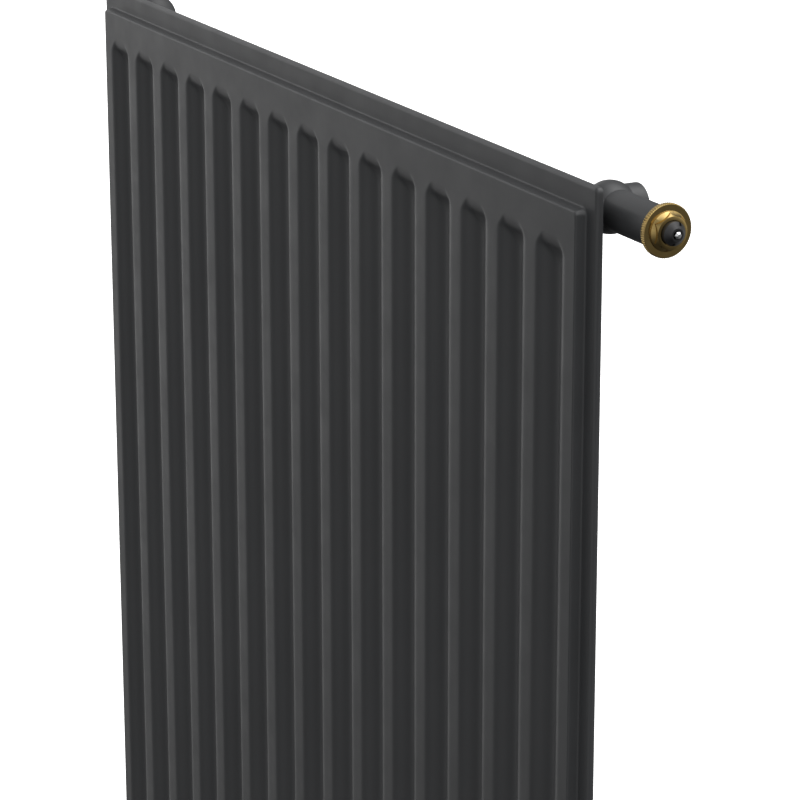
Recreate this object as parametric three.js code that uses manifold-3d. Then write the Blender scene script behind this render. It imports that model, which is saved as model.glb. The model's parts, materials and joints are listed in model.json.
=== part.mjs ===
// Compact panel radiator with a built-in thermostatic valve: one water panel pressed from two sheets,
// twelve convector fins behind it, four corner hubs, a riser and a valve insert at the top right.
// Millimetres. +X runs along the panel to the valve side, +Y points to the wall, +Z is up.
// Origin: middle of the panel's width, level with its bottom edge, in the plane of the hanging lugs' backs.
import * as THREE from "three";
import { mergeVertices } from "three/addons/utils/BufferGeometryUtils.js";
import Module from "manifold-3d";

const wasm = await Module();
wasm.setup();

// ---- driving dimensions ----
const PANEL_W = 791;
const PANEL_H = 900;
const SHEET = 1.25; // steel thickness
const GAP = 0.3; // clearance kept between touching pieces
const FLANGE_SIDE = 11.4; // seam flange at the panel's left and right edges
const FLANGE_END = 14.8; // seam flange at its top and bottom edges
const HEM = 5.2; // depth of the front sheet's rim, bent back round the seam
const HEM_CHAMFER = 1;
const STEP_RUN = 4; // sloping step from the flange up to the face
const STEP_FILLET = 1.1; // run of the shallow part at each end of the step
const STEP_FILLET_RISE = 0.6;
const FACE_RISE = 7; // face in front of the seam flange
const REAR_RISE = 5; // rear face behind the seam flange
const FLUTE_MARGIN = 38; // flute ends from the panel's top and bottom edges
const CORNER_R = 3.5;
const FACE_CORNER_R = 1.5;

const FLUTE_PITCH = 50;
const FLUTE_COUNT = 15;
const FLUTE_W = 38.9;
const FLUTE_CORNER_R = 13;
const FLUTE_FLOOR_W = 0.6;
const CONVEX_SHARE = 0.43; // part of a flute's half width that curves away from the face
const FRONT_CORNER_STEPS = 2; // facets in a flute's round corner
const REAR_CORNER_STEPS = 1;

const AXIS_DROP = 22.8; // hub and valve axes below the top edge, and above the bottom edge
const AXIS_DEPTH = 30; // hub and valve axes behind the front of the seam flange
const HUB_TO_WALL = 27; // hub axes in front of the wall plane
const BALL_R = 17.6;
const STUB_R = 13.7;
const STUB_REACH = 22.2; // end of the rear stub from the ball's centre
const BOSS_R = 16.5;
const BALL_FROM_FLANGE = 69; // ball centre to the front of the insert's flange
const FLANGE_PAST_PANEL = 35.5; // front of the insert's flange past the panel's right edge
const PORT_R = 8;
const HUB_BORE_R = 10.8;

const CONNECTION_PITCH = 50; // flow and return centres
const RISER_R = 6;
const RISER_WALL = 1.4;
const RISER_BEND_R = 17;
const SOCKET_R = 13.5;
const SOCKET_H = 24;

const CONVECTOR_LOW = 104;
const CONVECTOR_HIGH = 796;
const CONVECTOR_FINS = 12;
const CONVECTOR_SHEET = 1;
const FIN_DEPTH = 34;
const FIN_ROOT_W = 20;
const FIN_TIP_W = 30;

const LUG_X = 275;
const LUG_W = 34;
const LUG_H = 44;
const LUG_SHEET = 3;
const LUG_FOOT = 9; // each foot welded to the panel
const LUG_FROM_EDGE = 76; // lug centre from the panel's top or bottom edge
const HOOK_SLOT_W = 14;
const HOOK_SLOT_H = 22;

// valve insert, measured outwards from the front of its flange
const INSERT_FLANGE_R = 17.65;
const INSERT_FLANGE_T = 4;
const COLLAR_R = 13.2;
const COLLAR_T = 0.9;
const CONE_FRONT = 4; // cone between the collar and the hexagon's flats
const CONE_R = 10.4;
const HEX_ACROSS_FLATS = 21.5;
const HEX_FRONT = 5.6;
const HEX_CHAMFER_R = 10.7;
const HEX_CHAMFER = 2.8; // how far the chamfer reaches back along a corner
const THREAD_R = 10.2;
const CAGE_R = 8.1;
const INSERT_BORE_R = 6.3;
const SLEEVE_R = 6;
const SLEEVE_BORE_R = 5.2;
const RING_NOSE = 11.4;
const RING_NOSE_R = 4.3;
const RING_SHOULDER = 7.9; // end of the ring's straight part
const RING_R = 7.9;
const RING_HOLE_R = 3;
const PIN_R = 2.5;
const PIN_TIP = 13.4;
const SPINDLE_R = 1.5;
const PIN_TRAVEL = 2.6;

// facets round a body of revolution
const ROUND = 28;
const SMALL_ROUND = 20;
const BORE_ROUND = 16;

// ---- places that follow from them ----
const HUB_Y = -HUB_TO_WALL;
const SEAM_FRONT = HUB_Y - AXIS_DEPTH; // front of the front sheet's flange
const REAR_SEAM = SEAM_FRONT + SHEET + GAP; // front of the rear sheet's flange
const REAR_FACE = REAR_SEAM + SHEET + REAR_RISE;
const TOP_AXIS = PANEL_H - AXIS_DROP;
const LOW_AXIS = AXIS_DROP;
const VALVE_X = PANEL_W / 2 + FLANGE_PAST_PANEL; // front of the insert's flange
const HUB_X = VALVE_X - BALL_FROM_FLANGE;
const FLOW_X = HUB_X - CONNECTION_PITCH;

// ---- materials ----
const paint = new THREE.MeshStandardMaterial({ color: 0x3b3c3e, roughness: 0.45, metalness: 0 });
const backPaint = new THREE.MeshStandardMaterial({ color: 0x3a3b3d, roughness: 0.5, metalness: 0 });
const brass = new THREE.MeshStandardMaterial({ color: 0xb08d45, roughness: 0.25, metalness: 1 });
const nickel = new THREE.MeshStandardMaterial({ color: 0xb9bbbd, roughness: 0.3, metalness: 1 });
const brightSteel = new THREE.MeshStandardMaterial({ color: 0xd6d8da, roughness: 0.15, metalness: 1 });
const blackPlastic = new THREE.MeshStandardMaterial({ color: 0x1d1d1f, roughness: 0.45, metalness: 0 });
const whitePlastic = new THREE.MeshStandardMaterial({ color: 0xd9d9d6, roughness: 0.5, metalness: 0 });
const rubber = new THREE.MeshStandardMaterial({ color: 0x151515, roughness: 0.8, metalness: 0 });

// ---- solids ----
function solid(geometry) {
  const bare = geometry.clone();
  bare.deleteAttribute("normal");
  bare.deleteAttribute("uv");
  const merged = mergeVertices(bare, 1e-4);
  return new wasm.Manifold(
    new wasm.Mesh({
      numProp: 3,
      vertProperties: merged.attributes.position.array,
      triVerts: new Uint32Array(merged.index.array),
    }),
  );
}

function geometryOf(manifold) {
  const mesh = manifold.getMesh();
  const geometry = new THREE.BufferGeometry();
  geometry.setAttribute("position", new THREE.BufferAttribute(new Float32Array(mesh.vertProperties), 3));
  geometry.setIndex(new THREE.BufferAttribute(new Uint32Array(mesh.triVerts), 1));
  geometry.computeVertexNormals();
  return geometry;
}

const cut = (first, ...others) => others.reduce((left, other) => left.subtract(other), first);
const join = (first, ...others) => others.reduce((sum, other) => sum.add(other), first);

// Rings of equal point counts joined into a closed body, capped at both ends.
// A ring runs anticlockwise seen from outside the first end.
function loft(rings) {
  const count = rings[0].length;
  const positions = rings.flatMap((ring) => ring.flatMap((point) => [point.x, point.y, point.z]));
  const index = [];
  for (let r = 0; r < rings.length - 1; r += 1) {
    for (let i = 0; i < count; i += 1) {
      const here = r * count + i;
      const next = r * count + ((i + 1) % count);
      index.push(here, here + count, next + count, here, next + count, next);
    }
  }
  const last = (rings.length - 1) * count;
  for (let i = 1; i < count - 1; i += 1) {
    index.push(0, i, i + 1);
    index.push(last, last + i + 1, last + i);
  }
  const geometry = new THREE.BufferGeometry();
  geometry.setAttribute("position", new THREE.Float32BufferAttribute(positions, 3));
  geometry.setIndex(index);
  return solid(geometry);
}

// Rounded rectangle in an XZ plane at depth y, anticlockwise seen from the front.
function plate(cx, cz, width, height, radius, y, steps = 4) {
  const points = [];
  const inX = width / 2 - radius;
  const inZ = height / 2 - radius;
  const corners = [[1, 1, 0], [-1, 1, 90], [-1, -1, 180], [1, -1, 270]];
  for (const [sx, sz, start] of corners) {
    for (let i = 0; i <= steps; i += 1) {
      const angle = THREE.MathUtils.degToRad(start + (90 * i) / steps);
      const x = cx + sx * inX + radius * Math.cos(angle);
      const z = cz + sz * inZ + radius * Math.sin(angle);
      points.push(new THREE.Vector3(x, y, z));
    }
  }
  return points;
}

function box(x0, x1, y0, y1, z0, z1) {
  const geometry = new THREE.BoxGeometry(x1 - x0, y1 - y0, z1 - z0);
  geometry.translate((x0 + x1) / 2, (y0 + y1) / 2, (z0 + z1) / 2);
  return solid(geometry);
}

// Body of revolution about the line through centre along x, y or z: profile points are [reach, radius].
function turned(profile, along, centre, segments = SMALL_ROUND) {
  const points = profile.map(([reach, radius]) => new THREE.Vector2(radius, reach));
  const geometry = new THREE.LatheGeometry(points, segments);
  if (along === "x") geometry.rotateZ(-Math.PI / 2);
  if (along === "z") geometry.rotateX(Math.PI / 2);
  geometry.translate(centre.x, centre.y, centre.z);
  return solid(geometry);
}

const rod = (from, to, radius, along, centre, segments) =>
  turned([[from, 0], [from, radius], [to, radius], [to, 0]], along, centre, segments);

const tube = (from, to, radius, bore, along, centre, segments) =>
  turned([[from, bore], [from, radius], [to, radius], [to, bore], [from, bore]], along, centre, segments);

function torus(reach, radius, thickness, along, centre) {
  const profile = [];
  const sides = 6;
  for (let i = 0; i < sides; i += 1) {
    const angle = -(2 * Math.PI * i) / sides;
    profile.push([reach + thickness * Math.cos(angle), radius + thickness * Math.sin(angle)]);
  }
  profile.push(profile[0]);
  return turned(profile, along, centre, SMALL_ROUND);
}

const ball = (centre, radius, around = SMALL_ROUND) =>
  solid(new THREE.SphereGeometry(radius, around, around / 2).translate(centre.x, centre.y, centre.z));

// ---- scene graph ----
const radiator = new THREE.Group();

function place(name, shape, material, parent = radiator) {
  const mesh = new THREE.Mesh(geometryOf(shape), material);
  mesh.name = name;
  parent.add(mesh);
}

// ---- water panel ----
const hubCentres = {
  top_right: new THREE.Vector3(HUB_X, HUB_Y, TOP_AXIS),
  top_left: new THREE.Vector3(-HUB_X, HUB_Y, TOP_AXIS),
  bottom_left: new THREE.Vector3(-HUB_X, HUB_Y, LOW_AXIS),
  bottom_right: new THREE.Vector3(HUB_X, HUB_Y, LOW_AXIS),
};

// A slab inset from the panel's edges, whose rim steps up from the seam to a face `rise` away.
function raisedSlab(seamY, side, rise, shrink, start) {
  const midZ = PANEL_H / 2;
  const level = (run, depth) => {
    const width = PANEL_W - 2 * (FLANGE_SIDE + run + shrink);
    const height = PANEL_H - 2 * (FLANGE_END + run + shrink);
    return plate(0, midZ, width, height, FACE_CORNER_R + STEP_RUN - run, seamY + side * depth);
  };
  const rings = [
    level(0, -start),
    level(0, 0),
    level(STEP_FILLET, STEP_FILLET_RISE),
    level(STEP_RUN - STEP_FILLET, rise - STEP_FILLET_RISE),
    level(STEP_RUN, rise),
  ];
  return loft(side < 0 ? rings.reverse() : rings);
}

// A flute's cross-section: how deep it is at each distance in from its mouth. It curves away from the
// face on one arc and into the floor on a second one.
function fluteProfile(depth) {
  const half = FLUTE_W / 2;
  const turn = 2 * Math.atan(depth / half);
  const radii = depth / (1 - Math.cos(turn));
  const convex = radii * CONVEX_SHARE;
  const concave = radii - convex;
  const join = convex * Math.sin(turn);
  const drop = (reach, radius) => radius * (1 - Math.cos(Math.asin(reach / radius)));
  return [
    [0, 0],
    [join * 0.6, drop(join * 0.6, convex)],
    [join, drop(join, convex)],
    [(join + half) / 2, depth - drop((half - join) / 2, concave)],
    [half - FLUTE_FLOOR_W / 2, depth],
  ];
}

// One flute as a solid that starts `above` in front of the face and lies `below` deeper than its profile.
function fluteBody(x, faceY, side, depth, above, below, steps) {
  const midZ = PANEL_H / 2;
  const level = (inset, y) => {
    const height = PANEL_H - 2 * (FLUTE_MARGIN + inset);
    const radius = Math.max(FLUTE_CORNER_R - inset, FLUTE_FLOOR_W / 4);
    return plate(x, midZ, FLUTE_W - 2 * inset, height, radius, y, steps);
  };
  const rings = fluteProfile(depth).map(([inset, drop]) => level(inset, faceY - side * (drop + below)));
  rings.unshift(level(0, faceY + side * above));
  return loft(side < 0 ? rings : rings.reverse());
}

const fluteXs = Array.from(
  { length: FLUTE_COUNT },
  (_, i) => (i - (FLUTE_COUNT - 1) / 2) * FLUTE_PITCH,
);

// A pressed sheet: flange, raised face and flutes. side is -1 when it is pressed to the front, 1 to the rear.
function pressedSheet(flangeFront, side, rise, inset) {
  const outerSeam = side < 0 ? flangeFront : flangeFront + SHEET;
  const innerSeam = side < 0 ? flangeFront + SHEET : flangeFront;
  const width = PANEL_W - 2 * inset;
  const height = PANEL_H - 2 * inset;
  const flange = loft([
    plate(0, PANEL_H / 2, width, height, CORNER_R - inset, flangeFront),
    plate(0, PANEL_H / 2, width, height, CORNER_R - inset, flangeFront + SHEET),
  ]);
  const face = outerSeam + side * rise;
  const outer = join(flange, raisedSlab(outerSeam, side, rise, 0, SHEET / 2));
  const hollow = raisedSlab(innerSeam, side, rise, SHEET, 1);
  const steps = side < 0 ? FRONT_CORNER_STEPS : REAR_CORNER_STEPS;
  const troughs = fluteXs.map((x) => fluteBody(x, face, side, rise, -SHEET / 2, SHEET, steps));
  const flutes = fluteXs.map((x) => fluteBody(x, face, side, rise, 1, 0, steps));
  return cut(join(cut(outer, hollow), ...troughs), ...flutes);
}

// The front sheet's rim, bent back round the seam, with chamfered edges.
function hem() {
  const back = SEAM_FRONT + HEM;
  const level = (inset, y) =>
    plate(0, PANEL_H / 2, PANEL_W - 2 * inset, PANEL_H - 2 * inset, CORNER_R - inset, y);
  const outside = loft([
    level(HEM_CHAMFER, SEAM_FRONT),
    level(0, SEAM_FRONT + HEM_CHAMFER),
    level(0, back - HEM_CHAMFER),
    level(HEM_CHAMFER, back),
  ]);
  const inside = loft([level(SHEET, SEAM_FRONT - 1), level(SHEET, back + 1)]);
  return cut(outside, inside);
}

function makeFrontSheet() {
  const sheet = pressedSheet(SEAM_FRONT, -1, FACE_RISE, HEM_CHAMFER);
  place("front_sheet", join(sheet, hem()), paint);
}

function makeRearSheet() {
  let sheet = pressedSheet(REAR_SEAM, 1, REAR_RISE, SHEET + GAP);
  for (const centre of Object.values(hubCentres)) {
    const front = REAR_SEAM - HUB_Y;
    const back = REAR_FACE - HUB_Y;
    const boss = rod(front, back, BOSS_R, "y", centre);
    const inside = rod(front - 1, back - SHEET, BOSS_R - SHEET, "y", centre, BORE_ROUND);
    const port = rod(front - 1, back + 1, PORT_R, "y", centre, BORE_ROUND);
    sheet = cut(join(sheet, boss), inside, port);
  }
  place("rear_sheet", sheet, paint);
}

// ---- convector and lugs ----
// Each fin is a U-profile: its web is welded to a water channel and its two legs spread towards the wall.
function convectorFin(x) {
  const root = REAR_FACE + GAP;
  const tip = root + FIN_DEPTH;
  const halfRoot = FIN_ROOT_W / 2;
  const halfTip = FIN_TIP_W / 2;
  const outline = [
    [-halfRoot, root], [halfRoot, root], [halfTip, tip], [halfTip - CONVECTOR_SHEET, tip],
    [halfRoot - CONVECTOR_SHEET, root + CONVECTOR_SHEET],
    [CONVECTOR_SHEET - halfRoot, root + CONVECTOR_SHEET],
    [CONVECTOR_SHEET - halfTip, tip], [-halfTip, tip],
  ];
  const shape = new THREE.Shape(outline.map(([px, py]) => new THREE.Vector2(x + px, py)));
  const depth = CONVECTOR_HIGH - CONVECTOR_LOW;
  const geometry = new THREE.ExtrudeGeometry(shape, { depth, bevelEnabled: false });
  return solid(geometry.translate(0, 0, CONVECTOR_LOW));
}

function makeConvector() {
  for (let i = 0; i < CONVECTOR_FINS; i += 1) {
    const x = (i - (CONVECTOR_FINS - 1) / 2) * FLUTE_PITCH;
    place(`convector_fin_${String(i + 1).padStart(2, "0")}`, convectorFin(x), backPaint);
  }
}

// A lug is a strap bent into a hat: two feet on the panel, two cheeks and a back web with the hook slot.
function hangerLug(x, z) {
  const front = REAR_FACE + GAP;
  const halfW = LUG_W / 2;
  const footEnd = halfW + LUG_FOOT;
  const outline = [
    [-footEnd, front], [-halfW + LUG_SHEET, front], [-halfW + LUG_SHEET, -LUG_SHEET],
    [halfW - LUG_SHEET, -LUG_SHEET], [halfW - LUG_SHEET, front], [footEnd, front],
    [footEnd, front + LUG_SHEET], [halfW, front + LUG_SHEET], [halfW, 0],
    [-halfW, 0], [-halfW, front + LUG_SHEET], [-footEnd, front + LUG_SHEET],
  ];
  const shape = new THREE.Shape(outline.map(([px, py]) => new THREE.Vector2(x + px, py)));
  const strap = new THREE.ExtrudeGeometry(shape, { depth: LUG_H, bevelEnabled: false });
  const halfSlot = HOOK_SLOT_W / 2;
  const slotTop = z + HOOK_SLOT_H / 2;
  const slot = box(x - halfSlot, x + halfSlot, -LUG_SHEET - 1, 1, slotTop - HOOK_SLOT_H, slotTop);
  return cut(solid(strap.translate(0, 0, z - LUG_H / 2)), slot);
}

function makeLugs() {
  for (const [level, z] of [["upper", PANEL_H - LUG_FROM_EDGE], ["lower", LUG_FROM_EDGE]]) {
    for (const [hand, x] of [["left", -LUG_X], ["right", LUG_X]]) {
      place(`hanger_lug_${level}_${hand}`, hangerLug(x, z), backPaint);
    }
  }
}

// ---- hubs ----
const FRONT_STUB = REAR_FACE + GAP - HUB_Y;
const BALL_BORE_R = BALL_R - 3.2;
const END_BORE_R = 8.7;
const TEE_TUBE_END = BALL_FROM_FLANGE - INSERT_FLANGE_T - GAP;
const SEAL_RECESS_R = 12.4;
const SEAL_RECESS = 3;
const END_BORE_REACH = 18.3; // bore for the insert's inner end, from the ball's centre
const RISER_STUB_R = 7.7;
const RISER_STUB_REACH = 26;
const RISER_SOCKET = 3.5;
const SIDE_STUB_REACH = 31;
const CAP_T = 3;

function makeValveTee() {
  const centre = hubCentres.top_right;
  const body = join(
    ball(centre, BALL_R, ROUND),
    rod(0, TEE_TUBE_END, STUB_R, "x", centre, ROUND),
    rod(FRONT_STUB, STUB_REACH - CAP_T - GAP, STUB_R, "y", centre, ROUND),
    turned(
      [
        [-RISER_STUB_REACH, 0], [-RISER_STUB_REACH, RISER_STUB_R], [-END_BORE_REACH - 2, RISER_STUB_R],
        [-END_BORE_REACH - 0.5, END_BORE_R + 1.7], [0, END_BORE_R + 1.7], [0, 0],
      ],
      "x",
      centre,
      ROUND,
    ),
  );
  const tee = cut(
    body,
    ball(centre, BALL_BORE_R, BORE_ROUND),
    rod(0, TEE_TUBE_END + 1, HUB_BORE_R, "x", centre),
    rod(TEE_TUBE_END - SEAL_RECESS, TEE_TUBE_END + 1, SEAL_RECESS_R, "x", centre),
    rod(FRONT_STUB - 1, 0, PORT_R, "y", centre),
    rod(0, STUB_REACH + 1, HUB_BORE_R, "y", centre),
    rod(-END_BORE_REACH, 0, END_BORE_R, "x", centre),
    rod(-RISER_STUB_REACH - 1, 0, RISER_R - RISER_WALL, "x", centre),
    rod(-RISER_STUB_REACH - 1, RISER_SOCKET - RISER_STUB_REACH, RISER_R + GAP, "x", centre),
  );
  place("valve_tee", tee, paint);
  const cap = rod(STUB_REACH - CAP_T, STUB_REACH, STUB_R, "y", centre, ROUND);
  place("tee_rear_cap", cap, paint);
}

// A corner hub with a threaded side port for a plug.
function makeSideHub(name, centre, side) {
  const stubFrom = side < 0 ? -SIDE_STUB_REACH : 0;
  const stubTo = side < 0 ? 0 : SIDE_STUB_REACH;
  const body = join(
    ball(centre, BALL_R),
    rod(stubFrom, stubTo, STUB_R, "x", centre),
    rod(FRONT_STUB, 0, STUB_R, "y", centre),
  );
  const boreFrom = side < 0 ? stubFrom - 1 : 0;
  const boreTo = side < 0 ? 0 : stubTo + 1;
  const hub = cut(
    body,
    ball(centre, BALL_BORE_R, BORE_ROUND),
    rod(boreFrom, boreTo, HUB_BORE_R, "x", centre),
    rod(FRONT_STUB - 1, 0, PORT_R, "y", centre),
  );
  place(name, hub, paint);
}

function makeReturnHub() {
  const centre = hubCentres.bottom_right;
  const body = join(
    ball(centre, BALL_R),
    rod(-centre.z, 0, SOCKET_R, "z", centre),
    rod(FRONT_STUB, 0, STUB_R, "y", centre),
  );
  const hub = cut(
    body,
    ball(centre, BALL_BORE_R, BORE_ROUND),
    rod(-centre.z - 1, 0, HUB_BORE_R, "z", centre),
    rod(FRONT_STUB - 1, 0, PORT_R, "y", centre),
  );
  place("return_hub", hub, paint);
}

// ---- riser ----
const RISER_SEAT = 3; // how far the riser's ends enter their sockets

function riserPath() {
  const low = SOCKET_H - RISER_SEAT * 2;
  const bendZ = TOP_AXIS - RISER_BEND_R;
  const endX = HUB_X - RISER_STUB_REACH + RISER_SEAT;
  const points = [new THREE.Vector3(FLOW_X, HUB_Y, low)];
  const bendSteps = 6;
  for (let i = 0; i <= bendSteps; i += 1) {
    const angle = Math.PI - (Math.PI / 2) * (i / bendSteps);
    const x = FLOW_X + RISER_BEND_R + RISER_BEND_R * Math.cos(angle);
    const z = bendZ + RISER_BEND_R * Math.sin(angle);
    points.push(new THREE.Vector3(x, HUB_Y, z));
  }
  points.push(new THREE.Vector3(endX, HUB_Y, TOP_AXIS));
  return points;
}

// A round section carried along a bent line that lies in an XZ plane.
function sweep(points, radius, segments) {
  const rings = points.map((point, i) => {
    const before = points[Math.max(i - 1, 0)];
    const after = points[Math.min(i + 1, points.length - 1)];
    const tangent = after.clone().sub(before).normalize();
    const across = new THREE.Vector3(0, 1, 0);
    const up = new THREE.Vector3().crossVectors(tangent, across);
    return Array.from({ length: segments }, (_, k) => {
      const angle = -(2 * Math.PI * k) / segments;
      const offset = across.clone().multiplyScalar(radius * Math.cos(angle));
      return point.clone().add(offset).addScaledVector(up, radius * Math.sin(angle));
    });
  });
  return loft(rings);
}

function makeRiser() {
  const points = riserPath();
  const inner = points.map((point) => point.clone());
  inner[0].z -= 1;
  inner[inner.length - 1].x += 1;
  const pipe = cut(sweep(points, RISER_R, 16), sweep(inner, RISER_R - RISER_WALL, 12));
  place("riser_pipe", pipe, paint);

  const foot = new THREE.Vector3(FLOW_X, HUB_Y, 0);
  const socket = turned(
    [
      [0, HUB_BORE_R], [0, SOCKET_R], [SOCKET_H - 3, SOCKET_R], [SOCKET_H, RISER_R + 2.4],
      [SOCKET_H, RISER_R + GAP], [SOCKET_H - 8, RISER_R + GAP], [SOCKET_H - 8, RISER_R - 2],
      [SOCKET_H - 10, RISER_R - 2], [SOCKET_H - 10, HUB_BORE_R], [0, HUB_BORE_R],
    ],
    "z",
    foot,
  );
  place("flow_socket", socket, paint);
}

// ---- plugs on the left ----
const PLUG_HEAD_T = 4;
const PLUG_THREAD = 12;
const PLUG_HEX = 19;
const PLUG_RING_R = 13;
const VENT_BORE_R = 3.2;
const VENT_SEAT_R = 1.4;
const VENT_SCREW_HEAD_R = 2.6;
const VENT_SPOUT_R = 7;

function hexPrism(acrossFlats, from, to, centre) {
  const corner = acrossFlats / Math.sqrt(3);
  return turned([[from, 0], [from, corner], [to, corner], [to, 0]], "x", centre, 6);
}

// Plugs point to -X, so they are built pointing to +X and turned round.
function turnedRound(shape, centre) {
  const about = new THREE.Matrix4()
    .makeTranslation(centre.x, centre.y, centre.z)
    .multiply(new THREE.Matrix4().makeRotationZ(Math.PI))
    .multiply(new THREE.Matrix4().makeTranslation(-centre.x, -centre.y, -centre.z));
  return solid(geometryOf(shape).applyMatrix4(about));
}

function plugBody(mouth) {
  const ringBack = SIDE_STUB_REACH + GAP;
  const ringFront = ringBack + 1.4;
  const head = turned(
    [
      [SIDE_STUB_REACH - PLUG_THREAD, 0], [SIDE_STUB_REACH - PLUG_THREAD, HUB_BORE_R - 0.6],
      [ringFront + GAP, HUB_BORE_R - 0.6], [ringFront + GAP, PLUG_RING_R],
      [ringFront + 2, PLUG_RING_R], [ringFront + 2, 0],
    ],
    "x",
    mouth,
    ROUND,
  );
  return { head, ringBack, ringFront };
}

function makeBlindPlug() {
  const centre = hubCentres.bottom_left;
  const { head, ringBack, ringFront } = plugBody(centre);
  const hexFrom = ringFront + 1.5;
  const hex = hexPrism(PLUG_HEX, hexFrom, hexFrom + PLUG_HEAD_T, centre);
  const recess = rod(hexFrom + 1.5, hexFrom + PLUG_HEAD_T + 1, 6, "x", centre);
  place("blind_plug", turnedRound(cut(join(head, hex), recess), centre), nickel);
  const ring = tube(ringBack, ringFront, PLUG_RING_R - 0.4, HUB_BORE_R, "x", centre, ROUND);
  place("blind_plug_seal", turnedRound(ring, centre), rubber);
}

function makeAirVent() {
  const centre = hubCentres.top_left;
  const { head, ringBack, ringFront } = plugBody(centre);
  const ring = tube(ringBack, ringFront, PLUG_RING_R - 0.4, HUB_BORE_R, "x", centre, ROUND);
  place("vent_plug_seal", turnedRound(ring, centre), rubber);

  const faceX = ringFront + 2;
  const bore = turned(
    [
      [0, 0], [0, VENT_SEAT_R], [faceX - 12, VENT_SEAT_R], [faceX - 12, VENT_BORE_R],
      [faceX + 4, VENT_BORE_R], [faceX + 4, 0],
    ],
    "x",
    centre,
  );
  const track = tube(faceX - 1.6, faceX + 1, VENT_SPOUT_R + 0.4, VENT_BORE_R + 1.2, "x", centre);
  place("air_vent_plug", turnedRound(cut(head, bore, track), centre), nickel);

  const spoutRing = tube(faceX - 1.3, faceX + 3, VENT_SPOUT_R, VENT_BORE_R + 1.6, "x", centre);
  const spoutArm = box(
    centre.x + faceX + 0.2, centre.x + faceX + 3,
    centre.y - 2.2, centre.y + 2.2,
    centre.z - 12, centre.z - 5.6,
  );
  const spoutHole = box(
    centre.x + faceX + 1.2, centre.x + faceX + 2.2,
    centre.y - 1, centre.y + 1,
    centre.z - 13, centre.z - 4,
  );
  const spout = cut(join(spoutRing, spoutArm), spoutHole);
  place("vent_spout", turnedRound(spout, centre), whitePlastic);

  const seatX = faceX - 12;
  const tip = turned(
    [[seatX + 0.3, 0], [seatX + 0.3, 2.4], [seatX + 1.8, 2.4], [seatX + 1.8, 0]],
    "x",
    centre,
  );
  place("vent_seal", turnedRound(tip, centre), rubber);
  const screw = turned(
    [
      [seatX + 2.1, 0], [seatX + 2.1, VENT_BORE_R - 0.5], [faceX - 0.5, VENT_BORE_R - 0.5],
      [faceX - 0.5, VENT_SCREW_HEAD_R], [faceX + 2.4, VENT_SCREW_HEAD_R], [faceX + 2.4, 0],
    ],
    "x",
    centre,
  );
  const slot = box(
    centre.x + faceX + 1.2, centre.x + faceX + 3,
    centre.y - 0.5, centre.y + 0.5,
    centre.z - 4, centre.z + 4,
  );
  place("bleed_screw", turnedRound(cut(screw, slot), centre), brightSteel);
}

// ---- valve insert ----
const insertCentre = new THREE.Vector3(VALVE_X, HUB_Y, TOP_AXIS);
const CAGE_START = -30;
const WINDOW_FROM = -73;
const WINDOW_TO = -55;
const SEAT_FACE = -81;
const INSERT_END = -87;
const SEAT_BORE_R = 4.2;
const END_GROOVE_R = 6.8;

function makeInsertBody() {
  const outer = turned(
    [
      [INSERT_END, 0], [INSERT_END, CAGE_R], [INSERT_END + 1.6, CAGE_R], [INSERT_END + 1.6, END_GROOVE_R],
      [INSERT_END + 4, END_GROOVE_R], [INSERT_END + 4, CAGE_R], [CAGE_START, CAGE_R],
      [CAGE_START, THREAD_R], [-INSERT_FLANGE_T, THREAD_R], [-INSERT_FLANGE_T, INSERT_FLANGE_R],
      [0, INSERT_FLANGE_R], [0, COLLAR_R], [COLLAR_T, COLLAR_R], [CONE_FRONT, CONE_R], [CONE_FRONT, 0],
    ],
    "x",
    insertCentre,
    ROUND,
  );
  const hexCorner = HEX_ACROSS_FLATS / Math.sqrt(3);
  const chamfer = turned(
    [
      [-1, 0], [-1, hexCorner + 1], [HEX_FRONT - HEX_CHAMFER, hexCorner], [HEX_FRONT, HEX_CHAMFER_R],
      [HEX_FRONT, 0],
    ],
    "x",
    insertCentre,
    ROUND,
  );
  const hex = hexPrism(HEX_ACROSS_FLATS, 0.2, HEX_FRONT + 1, insertCentre).intersect(chamfer);
  const bore = turned(
    [
      [INSERT_END - 1, 0], [INSERT_END - 1, SEAT_BORE_R], [SEAT_FACE, SEAT_BORE_R],
      [SEAT_FACE, INSERT_BORE_R], [1, INSERT_BORE_R], [1, RING_R + 0.3],
      [HEX_FRONT + 1, RING_R + 0.3], [HEX_FRONT + 1, 0],
    ],
    "x",
    insertCentre,
  );
  const windowX = [VALVE_X + WINDOW_FROM, VALVE_X + WINDOW_TO];
  const windowAcross = box(windowX[0], windowX[1], HUB_Y - 12, HUB_Y + 12, TOP_AXIS - 3.5, TOP_AXIS + 3.5);
  const windowDown = box(windowX[0], windowX[1], HUB_Y - 3.5, HUB_Y + 3.5, TOP_AXIS - 12, TOP_AXIS + 12);
  const body = cut(join(outer, hex), bore, windowAcross, windowDown);
  place("insert_body", body, brass);
  place("insert_flange_seal", torus(-INSERT_FLANGE_T - 1.4, 11.35, 0.9, "x", insertCentre), rubber);
  place("insert_end_seal", torus(INSERT_END + 2.8, 7.75, 0.8, "x", insertCentre), rubber);
}

const GLAND_BACK = -12;
const GLAND_FRONT = -3;

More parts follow.
